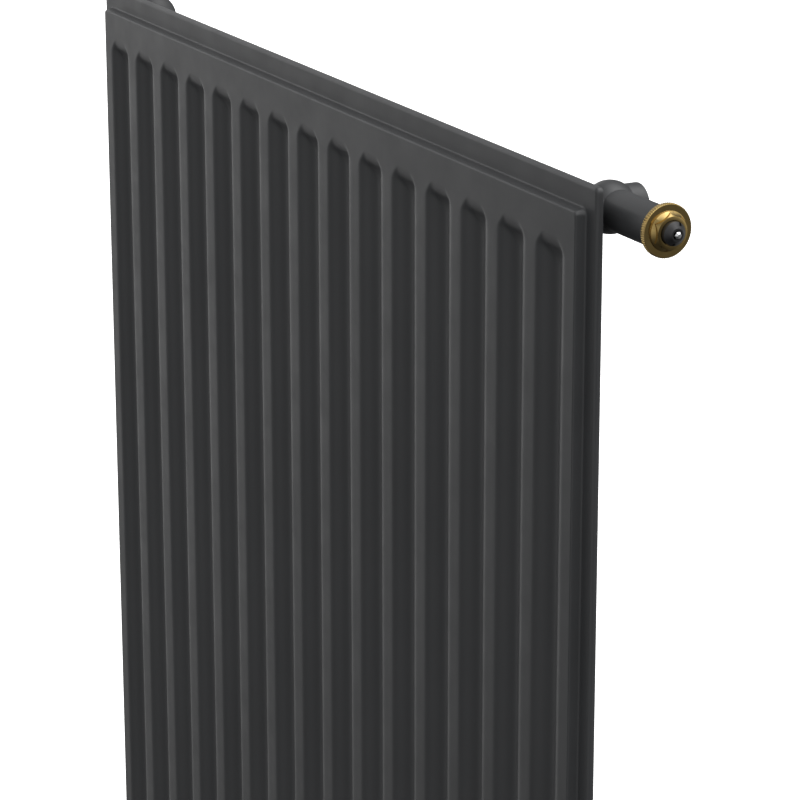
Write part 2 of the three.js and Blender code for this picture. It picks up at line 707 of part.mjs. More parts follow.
// The black ring, the throttle sleeve and the gland turn together.
function makeSettingRing() {
  const ring = turned(
    [
      [-1.6, RING_HOLE_R], [-1.6, SLEEVE_R], [1.3, SLEEVE_R], [1.3, RING_R], [RING_SHOULDER, RING_R],
      [RING_NOSE - 0.5, RING_NOSE_R + 0.5], [RING_NOSE, RING_NOSE_R], [RING_NOSE, RING_HOLE_R],
      [-1.6, RING_HOLE_R],
    ],
    "x",
    insertCentre,
  );
  const notch = (angle) => {
    const tool = new THREE.BoxGeometry(6, 1.8, 2.4);
    tool.translate(RING_SHOULDER + 2, 0, RING_R - 0.8).rotateX(angle);
    return solid(tool.translate(VALVE_X, HUB_Y, TOP_AXIS));
  };
  place("setting_ring", cut(ring, notch(-0.5), notch(Math.PI - 0.2)), blackPlastic);

  const sleeve = tube(SEAT_FACE + 1, -2, SLEEVE_R, SLEEVE_BORE_R, "x", insertCentre);
  const sleeveWindow = box(
    VALVE_X + WINDOW_FROM + 2, VALVE_X + WINDOW_TO - 2,
    HUB_Y - 8, HUB_Y + 8,
    TOP_AXIS - 2.5, TOP_AXIS + 2.5,
  );
  place("throttle_sleeve", cut(sleeve, sleeveWindow), brass);

  const gland = turned(
    [
      [GLAND_BACK, PIN_R + 0.3], [GLAND_BACK, SLEEVE_BORE_R - GAP], [GLAND_FRONT, SLEEVE_BORE_R - GAP],
      [GLAND_FRONT, PIN_R + 0.3], [-6, PIN_R + 0.3], [-6, 4.3], [-8.4, 4.3], [-8.4, PIN_R + 0.3],
      [GLAND_BACK, PIN_R + 0.3],
    ],
    "x",
    insertCentre,
  );
  place("gland_bush", gland, brass);
  place("gland_seal", torus(-7.2, 3.45, 0.7, "x", insertCentre), rubber);
}

const PLATE_FRONT = -20;
const PLATE_T = 1.6;
const SPRING_END = -40;
const SPRING_R = 3.6;
const SPRING_WIRE_R = 0.5;
const SPRING_TURNS = 5;
const GUIDE_T = 3;
const DISC_FACE = SEAT_FACE + PIN_TRAVEL + 0.6; // the soft disc's face, open at rest

// The parts that the thermostat head pushes in: pin, spindle, spring plate, disc holder and disc.
function makeStem() {
  const pinBack = PLATE_FRONT + GAP;
  const facets = turned(
    [[0, 0], [0, PIN_R], [PIN_TIP - 1.1, PIN_R], [PIN_TIP, 1.1], [PIN_TIP, 0]],
    "x",
    insertCentre,
    6,
  );
  const shank = rod(pinBack, 1, PIN_R, "x", insertCentre);
  place("valve_pin", join(shank, facets), brightSteel);

  const plateSolid = tube(PLATE_FRONT - PLATE_T, PLATE_FRONT, SLEEVE_BORE_R - 0.4, SPINDLE_R + 0.1,
    "x", insertCentre);
  place("spring_plate", plateSolid, brass);
  const holderFront = DISC_FACE + 6;
  const spindle = rod(holderFront - 3, PLATE_FRONT, SPINDLE_R, "x", insertCentre);
  place("valve_spindle", spindle, brightSteel);
  const holder = turned(
    [
      [DISC_FACE + 2.4, 0], [DISC_FACE + 2.4, 4.8], [holderFront - 1.5, 4.8], [holderFront, 3.2],
      [holderFront, SPINDLE_R + 0.1], [holderFront - 3.3, SPINDLE_R + 0.1], [holderFront - 3.3, 0],
    ],
    "x",
    insertCentre,
  );
  place("disc_holder", holder, brass);
  const disc = rod(DISC_FACE, DISC_FACE + 2.1, 4.7, "x", insertCentre);
  place("valve_disc", disc, rubber);
}

function makeReturnSpring() {
  const front = PLATE_FRONT - PLATE_T - SPRING_WIRE_R - GAP;
  const back = SPRING_END + SPRING_WIRE_R + GAP;
  const stepsPerTurn = 10;
  const steps = SPRING_TURNS * stepsPerTurn;
  const rings = Array.from({ length: steps + 1 }, (_, i) => {
    const angle = (2 * Math.PI * i) / stepsPerTurn;
    const reach = back + ((front - back) * i) / steps;
    const outward = new THREE.Vector3(0, Math.cos(angle), Math.sin(angle));
    const axis = new THREE.Vector3(1, 0, 0);
    const middle = insertCentre.clone().addScaledVector(axis, reach).addScaledVector(outward, SPRING_R);
    return Array.from({ length: 5 }, (_, k) => {
      const turn = (2 * Math.PI * k) / 5;
      return middle
        .clone()
        .addScaledVector(outward, SPRING_WIRE_R * Math.cos(turn))
        .addScaledVector(axis, SPRING_WIRE_R * Math.sin(turn));
    });
  });
  place("return_spring", loft(rings), brightSteel);
  const guide = tube(SPRING_END - GUIDE_T, SPRING_END, SLEEVE_BORE_R - GAP, SPINDLE_R + 0.2,
    "x", insertCentre);
  place("spindle_guide", guide, brass);
}

makeFrontSheet();
makeRearSheet();
makeConvector();
makeLugs();
makeValveTee();
makeSideHub("vent_hub", hubCentres.top_left, -1);
makeSideHub("blank_hub", hubCentres.bottom_left, -1);
makeReturnHub();
makeRiser();
makeBlindPlug();
makeAirVent();
makeInsertBody();
makeSettingRing();
makeStem();
makeReturnSpring();

export default radiator;
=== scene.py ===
import json
import math

import bmesh
import bpy
import numpy as np
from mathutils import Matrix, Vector


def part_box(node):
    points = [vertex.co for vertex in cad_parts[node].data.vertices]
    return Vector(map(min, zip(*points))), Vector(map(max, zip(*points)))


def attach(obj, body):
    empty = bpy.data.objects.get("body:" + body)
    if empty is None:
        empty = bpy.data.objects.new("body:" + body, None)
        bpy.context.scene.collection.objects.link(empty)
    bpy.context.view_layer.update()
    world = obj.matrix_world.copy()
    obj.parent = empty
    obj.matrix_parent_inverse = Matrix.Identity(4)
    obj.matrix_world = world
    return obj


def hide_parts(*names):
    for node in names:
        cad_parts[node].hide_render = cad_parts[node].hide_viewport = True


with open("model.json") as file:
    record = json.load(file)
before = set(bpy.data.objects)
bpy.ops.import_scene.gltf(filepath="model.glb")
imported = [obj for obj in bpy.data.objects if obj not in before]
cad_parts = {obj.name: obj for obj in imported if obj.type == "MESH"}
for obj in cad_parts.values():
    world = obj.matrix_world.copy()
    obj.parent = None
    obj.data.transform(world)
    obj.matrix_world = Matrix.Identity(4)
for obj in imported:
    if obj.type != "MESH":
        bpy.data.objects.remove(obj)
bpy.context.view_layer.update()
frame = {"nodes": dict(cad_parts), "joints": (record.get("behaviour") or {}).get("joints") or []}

MM = 0.001

# ---- places taken from the CAD frame, in millimetres ----


def box_mm(node):
    low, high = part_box(node)
    return np.array(low) / MM, np.array(high) / MM


def joint_place(name):
    found = next(j for j in frame["joints"] if j["name"] == name)
    return np.array(found["pos_m"]) / MM


SHEET_LOW, SHEET_HIGH = box_mm("front_sheet")
PANEL_W = SHEET_HIGH[0] - SHEET_LOW[0]
PANEL_H = SHEET_HIGH[2] - SHEET_LOW[2]
REAR_HIGH = box_mm("rear_sheet")[1]
INSERT = joint_place("presetting_turn")
CAP_LOW, CAP_HIGH = box_mm("tee_rear_cap")
HUB_X = (CAP_LOW[0] + CAP_HIGH[0]) / 2
HUB_Y = INSERT[1]
TOP_AXIS = INSERT[2]
LOW_AXIS = PANEL_H - TOP_AXIS
HUBS = {
    "top_right": np.array([HUB_X, HUB_Y, TOP_AXIS]),
    "top_left": np.array([-HUB_X, HUB_Y, TOP_AXIS]),
    "bottom_left": np.array([-HUB_X, HUB_Y, LOW_AXIS]),
    "bottom_right": np.array([HUB_X, HUB_Y, LOW_AXIS]),
}

# ---- dimensions of the pressed panel, in millimetres ----
SHEET = 1.25
WALL_SHIFT = 0.8 * SHEET
FLANGE_SIDE = 11.4
FLANGE_END = 14.8
STEP_RUN = 4.0
STEP_FILLET = 1.4
FACE_RISE = 7.0
REAR_RISE = 5.0
HEM = 5.2
HEM_R = 2.5
LIP_R = 1.1
CORNER_R = 3.5
REAR_INSET = 1.55
REAR_EDGE_R = 0.4
FACE_CORNER_R = 1.5
FLUTE_PITCH = 50.0
FLUTE_COUNT = 15
FLUTE_W = 38.9
FLUTE_MARGIN = 38.0
FLUTE_END_RUN = 23.0
FLUTE_BLEND = 4.0
CONVEX_SHARE = 0.43
BOSS_R = 16.5
BOSS_SLOPE = 2.4

# ---- meshes ----


def add_object(name, verts, faces, sharp=math.radians(35)):
    mesh = bpy.data.meshes.new(name)
    mesh.from_pydata([tuple(v) for v in np.asarray(verts) * MM], [], faces)
    mesh.validate()
    mesh.shade_smooth()
    mesh.set_sharp_from_angle(angle=sharp)
    obj = bpy.data.objects.new(name, mesh)
    bpy.context.scene.collection.objects.link(obj)
    return obj


def finish_piece(obj, body, slot, material, *nodes):
    obj.data.materials.clear()
    obj.data.materials.append(material)
    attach(obj, body)
    if nodes:
        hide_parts(*nodes)
    return obj


def settle(obj, sharp=math.radians(35)):
    """Applies the modifiers and marks the sharp edges again."""
    deps = bpy.context.evaluated_depsgraph_get()
    mesh = bpy.data.meshes.new_from_object(obj.evaluated_get(deps))
    obj.modifiers.clear()
    obj.data = mesh
    mesh.shade_smooth()
    mesh.set_sharp_from_angle(angle=sharp)
    return obj


def boolean(obj, other, operation, sharp=math.radians(35)):
    mod = obj.modifiers.new("boolean", "BOOLEAN")
    mod.operation = operation
    mod.solver = "EXACT"
    mod.object = other
    settle(obj, sharp)
    bpy.data.objects.remove(other, do_unlink=True)
    return obj


def rounded(profile, steps=4):
    """Profile points are (reach, radius) or (reach, radius, fillet); fillets become arcs."""
    pts = [np.array(p[:2], float) for p in profile]
    fillets = [p[2] if len(p) > 2 else 0.0 for p in profile]
    out = []
    for i, point in enumerate(pts):
        fillet = fillets[i]
        if fillet <= 0 or i in (0, len(pts) - 1):
            out.append(point)
            continue
        back, ahead = pts[i - 1] - point, pts[i + 1] - point
        back_len, ahead_len = np.linalg.norm(back), np.linalg.norm(ahead)
        back, ahead = back / back_len, ahead / ahead_len
        corner = math.acos(np.clip(back @ ahead, -1, 1))
        run = min(fillet / math.tan(corner / 2), 0.49 * back_len, 0.49 * ahead_len)
        radius = run * math.tan(corner / 2)
        middle = point + (back + ahead) / np.linalg.norm(back + ahead) * (radius / math.sin(corner / 2))
        start, end = point + back * run - middle, point + ahead * run - middle
        sweep = math.acos(np.clip(start @ end / radius**2, -1, 1))
        for k in range(steps + 1):
            t = k / steps
            arc = (math.sin((1 - t) * sweep) * start + math.sin(t * sweep) * end) / math.sin(sweep)
            out.append(middle + arc)
    return np.array(out)


def orient(local, axis, centre, flip=False):
    """Local (reach, across, up) points to the frame; reach runs along the axis."""
    reach, across, up = local[..., 0], local[..., 1], local[..., 2]
    sign = -1.0 if flip else 1.0
    if axis == "x":
        placed = np.stack([sign * reach, sign * across, up], -1)
    elif axis == "y":
        placed = np.stack([-sign * across, sign * reach, up], -1)
    else:
        placed = np.stack([across, up * sign, sign * reach], -1)
    return placed + np.asarray(centre)


def polar(name, reach, radius, axis, centre, flip=False, closed=False, sharp=math.radians(35)):
    """A body from rows of (reach, radius) round an axis; both are arrays of rows by segments."""
    rows, segs = radius.shape
    angle = np.linspace(0, 2 * math.pi, segs, endpoint=False)
    local = np.stack([reach, radius * np.cos(angle), radius * np.sin(angle)], -1)
    verts = list(orient(local.reshape(-1, 3), axis, centre, flip))
    faces = []
    index = np.arange(rows * segs).reshape(rows, segs)
    pairs = list(zip(range(rows - 1), range(1, rows)))
    if closed:
        pairs.append((rows - 1, 0))
    for a, b in pairs:
        for j in range(segs):
            k = (j + 1) % segs
            faces.append((index[a, j], index[b, j], index[b, k], index[a, k]))
    if not closed:
        for row, near in ((0, True), (rows - 1, False)):
            pole = len(verts)
            middle = np.array([[reach[row].mean(), 0.0, 0.0]])
            verts.append(orient(middle, axis, centre, flip)[0])
            for j in range(segs):
                k = (j + 1) % segs
                tri = (pole, index[row, j], index[row, k])
                faces.append(tri if near else tri[::-1])
    obj = add_object(name, np.array(verts), [tuple(int(i) for i in f) for f in faces], sharp)
    outward(obj)
    return obj


def outward(obj):
    bm = bmesh.new()
    bm.from_mesh(obj.data)
    bmesh.ops.recalc_face_normals(bm, faces=bm.faces)
    bm.to_mesh(obj.data)
    bm.free()


def lathe(name, profile, axis, centre, flip=False, segs=96, steps=4, sharp=math.radians(35)):
    """Body of revolution. A profile that ends where it starts is a ring with a hole."""
    closed = tuple(profile[0][:2]) == tuple(profile[-1][:2])
    pts = rounded(profile, steps)
    if closed:
        pts = pts[:-1]
    else:
        pts = np.array([p for p in pts if p[1] > 1e-6])
    reach = np.repeat(pts[:, :1], segs, 1)
    radius = np.repeat(pts[:, 1:], segs, 1)
    return polar(name, reach, radius, axis, centre, flip, closed, sharp)


def block(name, low, high):
    (x0, y0, z0), (x1, y1, z1) = low, high
    verts = [(x, y, z) for x in (x0, x1) for y in (y0, y1) for z in (z0, z1)]
    faces = [(0, 1, 3, 2), (4, 6, 7, 5), (0, 4, 5, 1), (2, 3, 7, 6), (0, 2, 6, 4), (1, 5, 7, 3)]
    return add_object(name, verts, faces)


# ---- materials ----


class Nodes:
    """Short calls for one node material."""

    def __init__(self, name):
        self.material = bpy.data.materials.new(name)
        self.material.use_nodes = True
        self.tree = self.material.node_tree
        self.tree.nodes.clear()
        self.out = self.add("ShaderNodeOutputMaterial")
        self.shader = self.add("ShaderNodeBsdfPrincipled")
        self.link(self.shader, "BSDF", self.out, "Surface")
        self.place = self.add("ShaderNodeTexCoord")

    def add(self, kind, **values):
        node = self.tree.nodes.new(kind)
        for key, value in values.items():
            setattr(node, key, value)
        return node

    def link(self, a, out, b, to):
        self.tree.links.new(a.outputs[out], b.inputs[to])

    def noise(self, scale, detail=2.0, rough=0.5, source=None):
        node = self.add("ShaderNodeTexNoise")
        node.inputs["Scale"].default_value = scale
        node.inputs["Detail"].default_value = detail
        node.inputs["Roughness"].default_value = rough
        if source is None:
            self.link(self.place, "Object", node, "Vector")
        else:
            self.tree.links.new(source, node.inputs["Vector"])
        return node.outputs["Fac"]

    def ramp(self, source, low, high, start=0.0, end=1.0):
        node = self.add("ShaderNodeMapRange")
        node.inputs["From Min"].default_value = start
        node.inputs["From Max"].default_value = end
        node.inputs["To Min"].default_value = low
        node.inputs["To Max"].default_value = high
        self.tree.links.new(source, node.inputs["Value"])
        return node.outputs["Result"]

    def colours(self, source, stops):
        node = self.add("ShaderNodeValToRGB")
        elements = node.color_ramp.elements
        for i, (at, colour) in enumerate(stops):
            element = elements[i] if i < 2 else elements.new(at)
            element.position = at
            element.color = (*colour, 1.0)
        self.tree.links.new(source, node.inputs["Fac"])
        return node.outputs["Color"]

    def maths(self, operation, a, b=None):
        node = self.add("ShaderNodeMath", operation=operation)
        for slot, value in enumerate((a, b)):
            if value is None:
                continue
            if isinstance(value, (int, float)):
                node.inputs[slot].default_value = value
            else:
                self.tree.links.new(value, node.inputs[slot])
        return node.outputs[0]

    def bump(self, height, strength, distance, normal=None):
        node = self.add("ShaderNodeBump")
        node.inputs["Strength"].default_value = strength
        node.inputs["Distance"].default_value = distance
        self.tree.links.new(height, node.inputs["Height"])
        if normal is not None:
            self.tree.links.new(normal, node.inputs["Normal"])
        return node.outputs["Normal"]

    def set(self, name, value):
        if hasattr(value, "is_output"):
            self.tree.links.new(value, self.shader.inputs[name])
        elif isinstance(value, tuple):
            self.shader.inputs[name].default_value = (*value, 1.0)
        else:
            self.shader.inputs[name].default_value = value

    def radius_from(self, centre):
        """Distance from the X-directed line through a point of the frame."""
        split = self.add("ShaderNodeSeparateXYZ")
        self.link(self.place, "Object", split, "Vector")
        across = self.maths("SUBTRACT", split.outputs["Y"], centre[1] * MM)
        up = self.maths("SUBTRACT", split.outputs["Z"], centre[2] * MM)
        squares = self.maths("ADD", self.maths("MULTIPLY", across, across), self.maths("MULTIPLY", up, up))
        return self.maths("SQRT", squares), split.outputs["X"]

    def turning_marks(self, centre, per_metre):
        """Fine rings left by a lathe: noise that changes with reach and radius only."""
        radius, reach = self.radius_from(centre)
        joined = self.add("ShaderNodeCombineXYZ")
        self.tree.links.new(radius, joined.inputs["X"])
        self.tree.links.new(reach, joined.inputs["Y"])
        return self.noise(per_metre, 3.0, 0.6, joined.outputs["Vector"])


def painted(name, dark, light, rough_low, rough_high, peel=0.06):
    n = Nodes(name)
    cloud = n.noise(7.0, 4.0, 0.55)
    n.set("Base Color", n.colours(cloud, [(0.3, dark), (0.7, light)]))
    smudge = n.noise(38.0, 3.0, 0.6)
    n.set("Roughness", n.ramp(smudge, rough_low, rough_high, 0.3, 0.7))
    skin = n.bump(n.noise(620.0, 2.0, 0.5), peel, 0.0004)
    grain = n.bump(n.noise(3600.0, 1.0, 0.5), peel * 0.7, 0.0001, skin)
    n.set("Normal", grain)
    n.set("Specular IOR Level", 0.5)
    n.set("Coat Weight", 0.12)
    n.set("Coat Roughness", 0.3)
    return n.material


def turned_metal(name, dark, light, rough_low, rough_high, centre, marks=2600.0, depth=0.08):
    n = Nodes(name)
    rings = n.turning_marks(centre, marks)
    stain = n.noise(160.0, 4.0, 0.6)
    n.set("Base Color", n.colours(stain, [(0.3, dark), (0.7, light)]))
    mixed = n.maths("ADD", n.maths("MULTIPLY", rings, 0.6), n.maths("MULTIPLY", stain, 0.4))
    n.set("Roughness", n.ramp(mixed, rough_low, rough_high, 0.3, 0.7))
    lines = n.bump(rings, depth, 0.0001)
    n.set("Normal", n.bump(n.noise(900.0, 2.0, 0.5), depth * 0.6, 0.0001, lines))
    n.set("Metallic", 1.0)
    return n.material


def moulded(name, dark, light, rough_low, rough_high, grain=0.08, scale=2400.0):
    n = Nodes(name)
    cloud = n.noise(180.0, 3.0, 0.5)
    n.set("Base Color", n.colours(cloud, [(0.3, dark), (0.7, light)]))
    n.set("Roughness", n.ramp(n.noise(420.0, 3.0, 0.5), rough_low, rough_high, 0.3, 0.7))
    n.set("Normal", n.bump(n.noise(scale, 2.0, 0.5), grain, 0.0002))
    return n.material


PAINT = painted("anthracite_paint", (0.040, 0.0415, 0.044), (0.047, 0.0485, 0.051), 0.40, 0.50)
BACK_PAINT = painted("back_paint", (0.036, 0.037, 0.039), (0.044, 0.045, 0.047), 0.46, 0.60, 0.10)
BRASS = turned_metal(
    "polished_brass", (0.40, 0.28, 0.10), (0.46, 0.33, 0.13), 0.07, 0.13, INSERT, 2600.0, 0.02
)
INNER_BRASS = turned_metal(
    "turned_brass", (0.52, 0.38, 0.15), (0.68, 0.52, 0.25), 0.22, 0.36, INSERT, 1500.0, 0.16
)
NICKEL = turned_metal(
    "nickel_plate", (0.56, 0.55, 0.53), (0.66, 0.65, 0.63), 0.18, 0.30, HUBS["top_left"], 2200.0
)
STEEL = turned_metal("bright_steel", (0.70, 0.71, 0.72), (0.80, 0.81, 0.82), 0.10, 0.20, INSERT, 3000.0)
BLACK = moulded("black_plastic", (0.012, 0.012, 0.013), (0.018, 0.018, 0.019), 0.30, 0.42)
WHITE = moulded("white_plastic", (0.60, 0.60, 0.58), (0.68, 0.68, 0.66), 0.38, 0.52)
RUBBER = moulded("seal_rubber", (0.010, 0.010, 0.010), (0.020, 0.020, 0.020), 0.60, 0.80, 0.14, 3200.0)

# ---- pressed sheets ----


def rounded_rect(x, z, half_x, half_z, radius):
    """Signed distance to a rounded rectangle, negative inside."""
    qx = np.abs(x) - (half_x - radius)
    qz = np.abs(z) - (half_z - radius)
    outside = np.hypot(np.maximum(qx, 0), np.maximum(qz, 0))
    return outside + np.minimum(np.maximum(qx, qz), 0) - radius


def ease(t):
    return 0.5 - 0.5 * np.cos(math.pi * np.clip(t, 0, 1))


def step_angle(rise):
    """Slope of the step's straight wall between its two fillets, found by halving."""
    low, high = math.radians(30), math.radians(89)
    for _ in range(40):
        angle = (low + high) / 2
        straight = rise - 2 * STEP_FILLET * (1 - math.cos(angle))
        run = 2 * STEP_FILLET * math.sin(angle) + straight / math.tan(angle)
        low, high = (angle, high) if run > STEP_RUN else (low, angle)
    return angle


def step_height(inward, rise):
    """Height of the step's fillet, wall and fillet at a distance in from its foot."""
    angle, radius = step_angle(rise), STEP_FILLET
    curl = radius * math.sin(angle)
    d = np.clip(inward, 0, STEP_RUN)
    foot = radius - np.sqrt(np.maximum(radius**2 - np.minimum(d, curl) ** 2, 0))
    back = np.minimum(STEP_RUN - d, curl)
    head = rise - radius + np.sqrt(np.maximum(radius**2 - back**2, 0))
    wall = radius * (1 - math.cos(angle)) + (d - curl) * math.tan(angle)
    return np.where(d < curl, foot, np.where(d > STEP_RUN - curl, head, wall))


def flute_share(inward, run):
    """Share of the full depth at a distance in from a flute's mouth, along two arcs that meet."""
    half = FLUTE_W / 2
    d = np.clip(inward / run, 0, 1) * half
    turn = 2 * math.atan(FACE_RISE / half)
    radii = FACE_RISE / (1 - math.cos(turn))
    convex, concave = radii * CONVEX_SHARE, radii * (1 - CONVEX_SHARE)
    join = convex * math.sin(turn)
    first = convex - np.sqrt(np.maximum(convex**2 - np.minimum(d, join) ** 2, 0))
    last = FACE_RISE - concave + np.sqrt(concave**2 - np.minimum(half - d, half - join) ** 2)
    return np.where(d < join, first, last) / FACE_RISE


FLUTE_XS = [(i - (FLUTE_COUNT - 1) / 2) * FLUTE_PITCH for i in range(FLUTE_COUNT)]


def sheet_height(x, z, rise, bosses, shift):
    """How far the sheet stands out from its flange; z is from the middle, and shift moves the step in."""
    half_x, half_z = PANEL_W / 2, PANEL_H / 2
    foot = rounded_rect(x, z, half_x - FLANGE_SIDE, half_z - FLANGE_END, FACE_CORNER_R + STEP_RUN)
    height = step_height(-foot - shift, rise)
    end = flute_share(half_z - FLUTE_MARGIN - np.abs(z), FLUTE_END_RUN)
    for centre in FLUTE_XS:
        side = flute_share(FLUTE_W / 2 - np.abs(x - centre), FLUTE_W / 2)
        lack = ((1 - side) ** FLUTE_BLEND + (1 - end) ** FLUTE_BLEND) ** (1 / FLUTE_BLEND)
        height -= rise * np.clip(1 - lack, 0, 1)
    for cx, cz in bosses:
        away = np.hypot(x - cx, z - cz)
        height = np.maximum(height, rise * ease((BOSS_R - away) / BOSS_SLOPE))
    return height


def spread(parts):
    """Grid lines: each part is (from, to, number of steps)."""
    lines = [parts[0][0]]
    for start, end, steps in parts:
        lines += [start + (end - start) * (i + 1) / steps for i in range(steps)]
    return lines


STEP_LINES = [0.0, 0.4, 0.75, 1.0, 1.2, 1.36, 1.68, 2.0, 2.32, 2.64, 2.8, 3.0, 3.25, 3.6, 4.0]


def grid_lines(half, flange, start, across):
    """Lines from one edge to the other, close together where the sheet bends."""
    corner = FACE_CORNER_R + STEP_RUN + 1
    lines = spread([(start, CORNER_R, 4), (CORNER_R, flange, 4)])
    lines += [flange + d for d in STEP_LINES[1:]]
    lines += spread([(flange + STEP_RUN, flange + corner, 13)])[1:]
    low = [d - half for d in lines]
    if not across:
        head, floor = FLUTE_MARGIN, FLUTE_MARGIN + FLUTE_END_RUN
        inner = spread([(flange + corner, head, 6), (head, floor, 22), (floor, half, 5)])[1:]
        low += [d - half for d in inner]
        return np.array(low + [-v for v in reversed(low[:-1])])
    first = FLUTE_XS[0] - FLUTE_W / 2
    low += spread([(low[-1], first, 4)])[1:]
    for i, centre in enumerate(FLUTE_XS):
        a = centre - FLUTE_W / 2
        low += spread([(a, a + FLUTE_W, 30)])[1:]
        if i < FLUTE_COUNT - 1:
            low += spread([(a + FLUTE_W, a + FLUTE_PITCH, 3)])[1:]
    low += spread([(-first, half - flange - corner, 4)])[1:]
    low += [half - d for d in reversed(lines[:-1])]
    return np.array(low)


def round_corners(x, z, half_x, half_z, radius):
    """The square corners of the grid are drawn in to round corners; also gives the outward direction."""
    qx = np.maximum(np.abs(x) - (half_x - radius), 0)
    qz = np.maximum(np.abs(z) - (half_z - radius), 0)
    inside = (qx > 0) & (qz > 0)
    length = np.maximum(np.hypot(qx, qz), 1e-9)
    reach = np.where(inside, np.maximum(qx, qz) / length, 1.0)
    new_x = np.where(inside, np.sign(x) * (half_x - radius + qx * reach), x)
    new_z = np.where(inside, np.sign(z) * (half_z - radius + qz * reach), z)
    return new_x, new_z, np.sign(x) * qx / length, np.sign(z) * qz / length


def arc(cx, cy, rx, ry, steps):
    """Quarter ellipse points; it starts at (cx, cy + ry) and ends at (cx + rx, cy)."""
    return [
        (cx + rx * math.sin(math.pi / 2 * i / steps), cy + ry * math.cos(math.pi / 2 * i / steps))
        for i in range(1, steps + 1)
    ]


HEM_TURN = [0.0, 0.3, 0.6, 0.9, 1.2, math.pi / 2]


def hem_profile():
    """The front sheet's rim from its flange face round to the inside: (outward, depth) past the grid."""
    inner = HEM_R - SHEET
    lip = HEM - LIP_R
    points = arc(0, HEM_R, HEM_R, -HEM_R, 8)
    points += [(HEM_R - LIP_R * (1 - math.cos(a)), lip + LIP_R * math.sin(a)) for a in HEM_TURN]
    points += [(inner + 0.1, HEM), (inner, HEM - 0.1), (inner, HEM_R)]
    return points + [(inner * math.cos(a), HEM_R - inner * math.sin(a)) for a in (0.5, 1.05)]


def plain_edge_profile():
    r = REAR_EDGE_R
    turn = [(r * math.sin(a), r * (1 - math.cos(a))) for a in (0.5, 1.05, math.pi / 2)]
    return turn + [(out, SHEET - depth) for out, depth in reversed(turn)]


def pressed_sheet(name, seam_y, side, rise, bosses, inset, rim, profile):
    """seam_y is the flange's outer face; side is -1 for the front sheet and 1 for the rear one.
    The grid stops where the rim profile begins, and the profile is carried round as rings."""
    half_x, half_z = PANEL_W / 2, PANEL_H / 2
    edge = inset + rim
    xs = grid_lines(half_x, FLANGE_SIDE, edge, True)
    zs = grid_lines(half_z, FLANGE_END, edge, False)
    gx, gz = np.meshgrid(xs, zs)
    gx, gz, nx, nz = round_corners(gx, gz, half_x - edge, half_z - edge, CORNER_R - edge)
    outer = seam_y + side * sheet_height(gx, gz, rise, bosses, 0.0)
    inner = seam_y + side * (sheet_height(gx, gz, rise, bosses, WALL_SHIFT) - SHEET)
    rows, cols = gx.shape
    z_up = gz + half_z
    verts = [
        np.stack([gx, outer, z_up], -1).reshape(-1, 3),
        np.stack([gx, inner, z_up], -1).reshape(-1, 3),
    ]
    index = np.arange(rows * cols).reshape(rows, cols)
    a, b, c, d = index[:-1, :-1], index[:-1, 1:], index[1:, 1:], index[1:, :-1]
    front = np.stack([a, b, c, d], -1).reshape(-1, 4)
    faces = [front, front[:, ::-1] + rows * cols]
    border = np.concatenate([index[0, :], index[1:, -1], index[-1, -2::-1], index[-2:0:-1, 0]])
    count = 2 * rows * cols
    rings = [border]
    for outward_by, depth in profile:
        ring = np.stack([
            gx.ravel()[border] + nx.ravel()[border] * outward_by,
            np.full(len(border), seam_y - side * depth),
            z_up.ravel()[border] + nz.ravel()[border] * outward_by,
        ], -1)
        verts.append(ring)
        rings.append(np.arange(count, count + len(border)))
        count += len(border)
    rings.append(border + rows * cols)
    for near, far in zip(rings, rings[1:]):
        faces.append(np.stack([near, far, np.roll(far, -1), np.roll(near, -1)], -1))
    faces = np.concatenate(faces)
    if side > 0:
        faces = faces[:, ::-1]
    return add_object(name, np.concatenate(verts), faces.tolist(), math.radians(60))


front = pressed_sheet(
    "sheet_front", SHEET_LOW[1] + FACE_RISE, -1, FACE_RISE, [], 0.0, HEM_R, hem_profile()
)
finish_piece(front, "root", "paint", PAINT, "front_sheet")
hub_spots = [(c[0], c[2] - PANEL_H / 2) for c in HUBS.values()]
rear = pressed_sheet(
    "sheet_rear", REAR_HIGH[1] - REAR_RISE, 1, REAR_RISE, hub_spots,
    REAR_INSET, REAR_EDGE_R, plain_edge_profile(),
)
finish_piece(rear, "root", "painted_back", BACK_PAINT, "rear_sheet")

# ---- convector fins and hanging lugs ----


def arc_outline(points, radii, steps=5):
    """A closed outline with rounded corners."""
    closed = [points[-1], *points, points[0]]
    full = [(*p, 0.0) for p in closed]
    for i, radius in enumerate(radii):
        full[i + 1] = (*points[i], radius)
    return rounded(full, steps)[1:-1]


def extruded(name, outline, z0, z1, bevel):
    """An outline in XY carried up from z0 to z1, with small bevels at both ends."""
    inset = []
    count = len(outline)
    for i in range(count):
        before, here, after = outline[i - 1], outline[i], outline[(i + 1) % count]
        edge = (after - before) / max(np.linalg.norm(after - before), 1e-9)
        inset.append(here + np.array([-edge[1], edge[0]]) * bevel)
    inset = np.array(inset)
    levels = [(inset, z0), (outline, z0 + bevel), (outline, z1 - bevel), (inset, z1)]
    verts = np.concatenate([np.column_stack([ring, np.full(count, z)]) for ring, z in levels])
    faces = []
    for level in range(len(levels) - 1):
        for i in range(count):
            j = (i + 1) % count
            a, b = level * count + i, level * count + j
            faces.append((a, b, b + count, a + count))
    faces.append(tuple(range(count - 1, -1, -1)))
    faces.append(tuple(range((len(levels) - 1) * count, len(levels) * count)))
    return add_object(name, verts, faces)


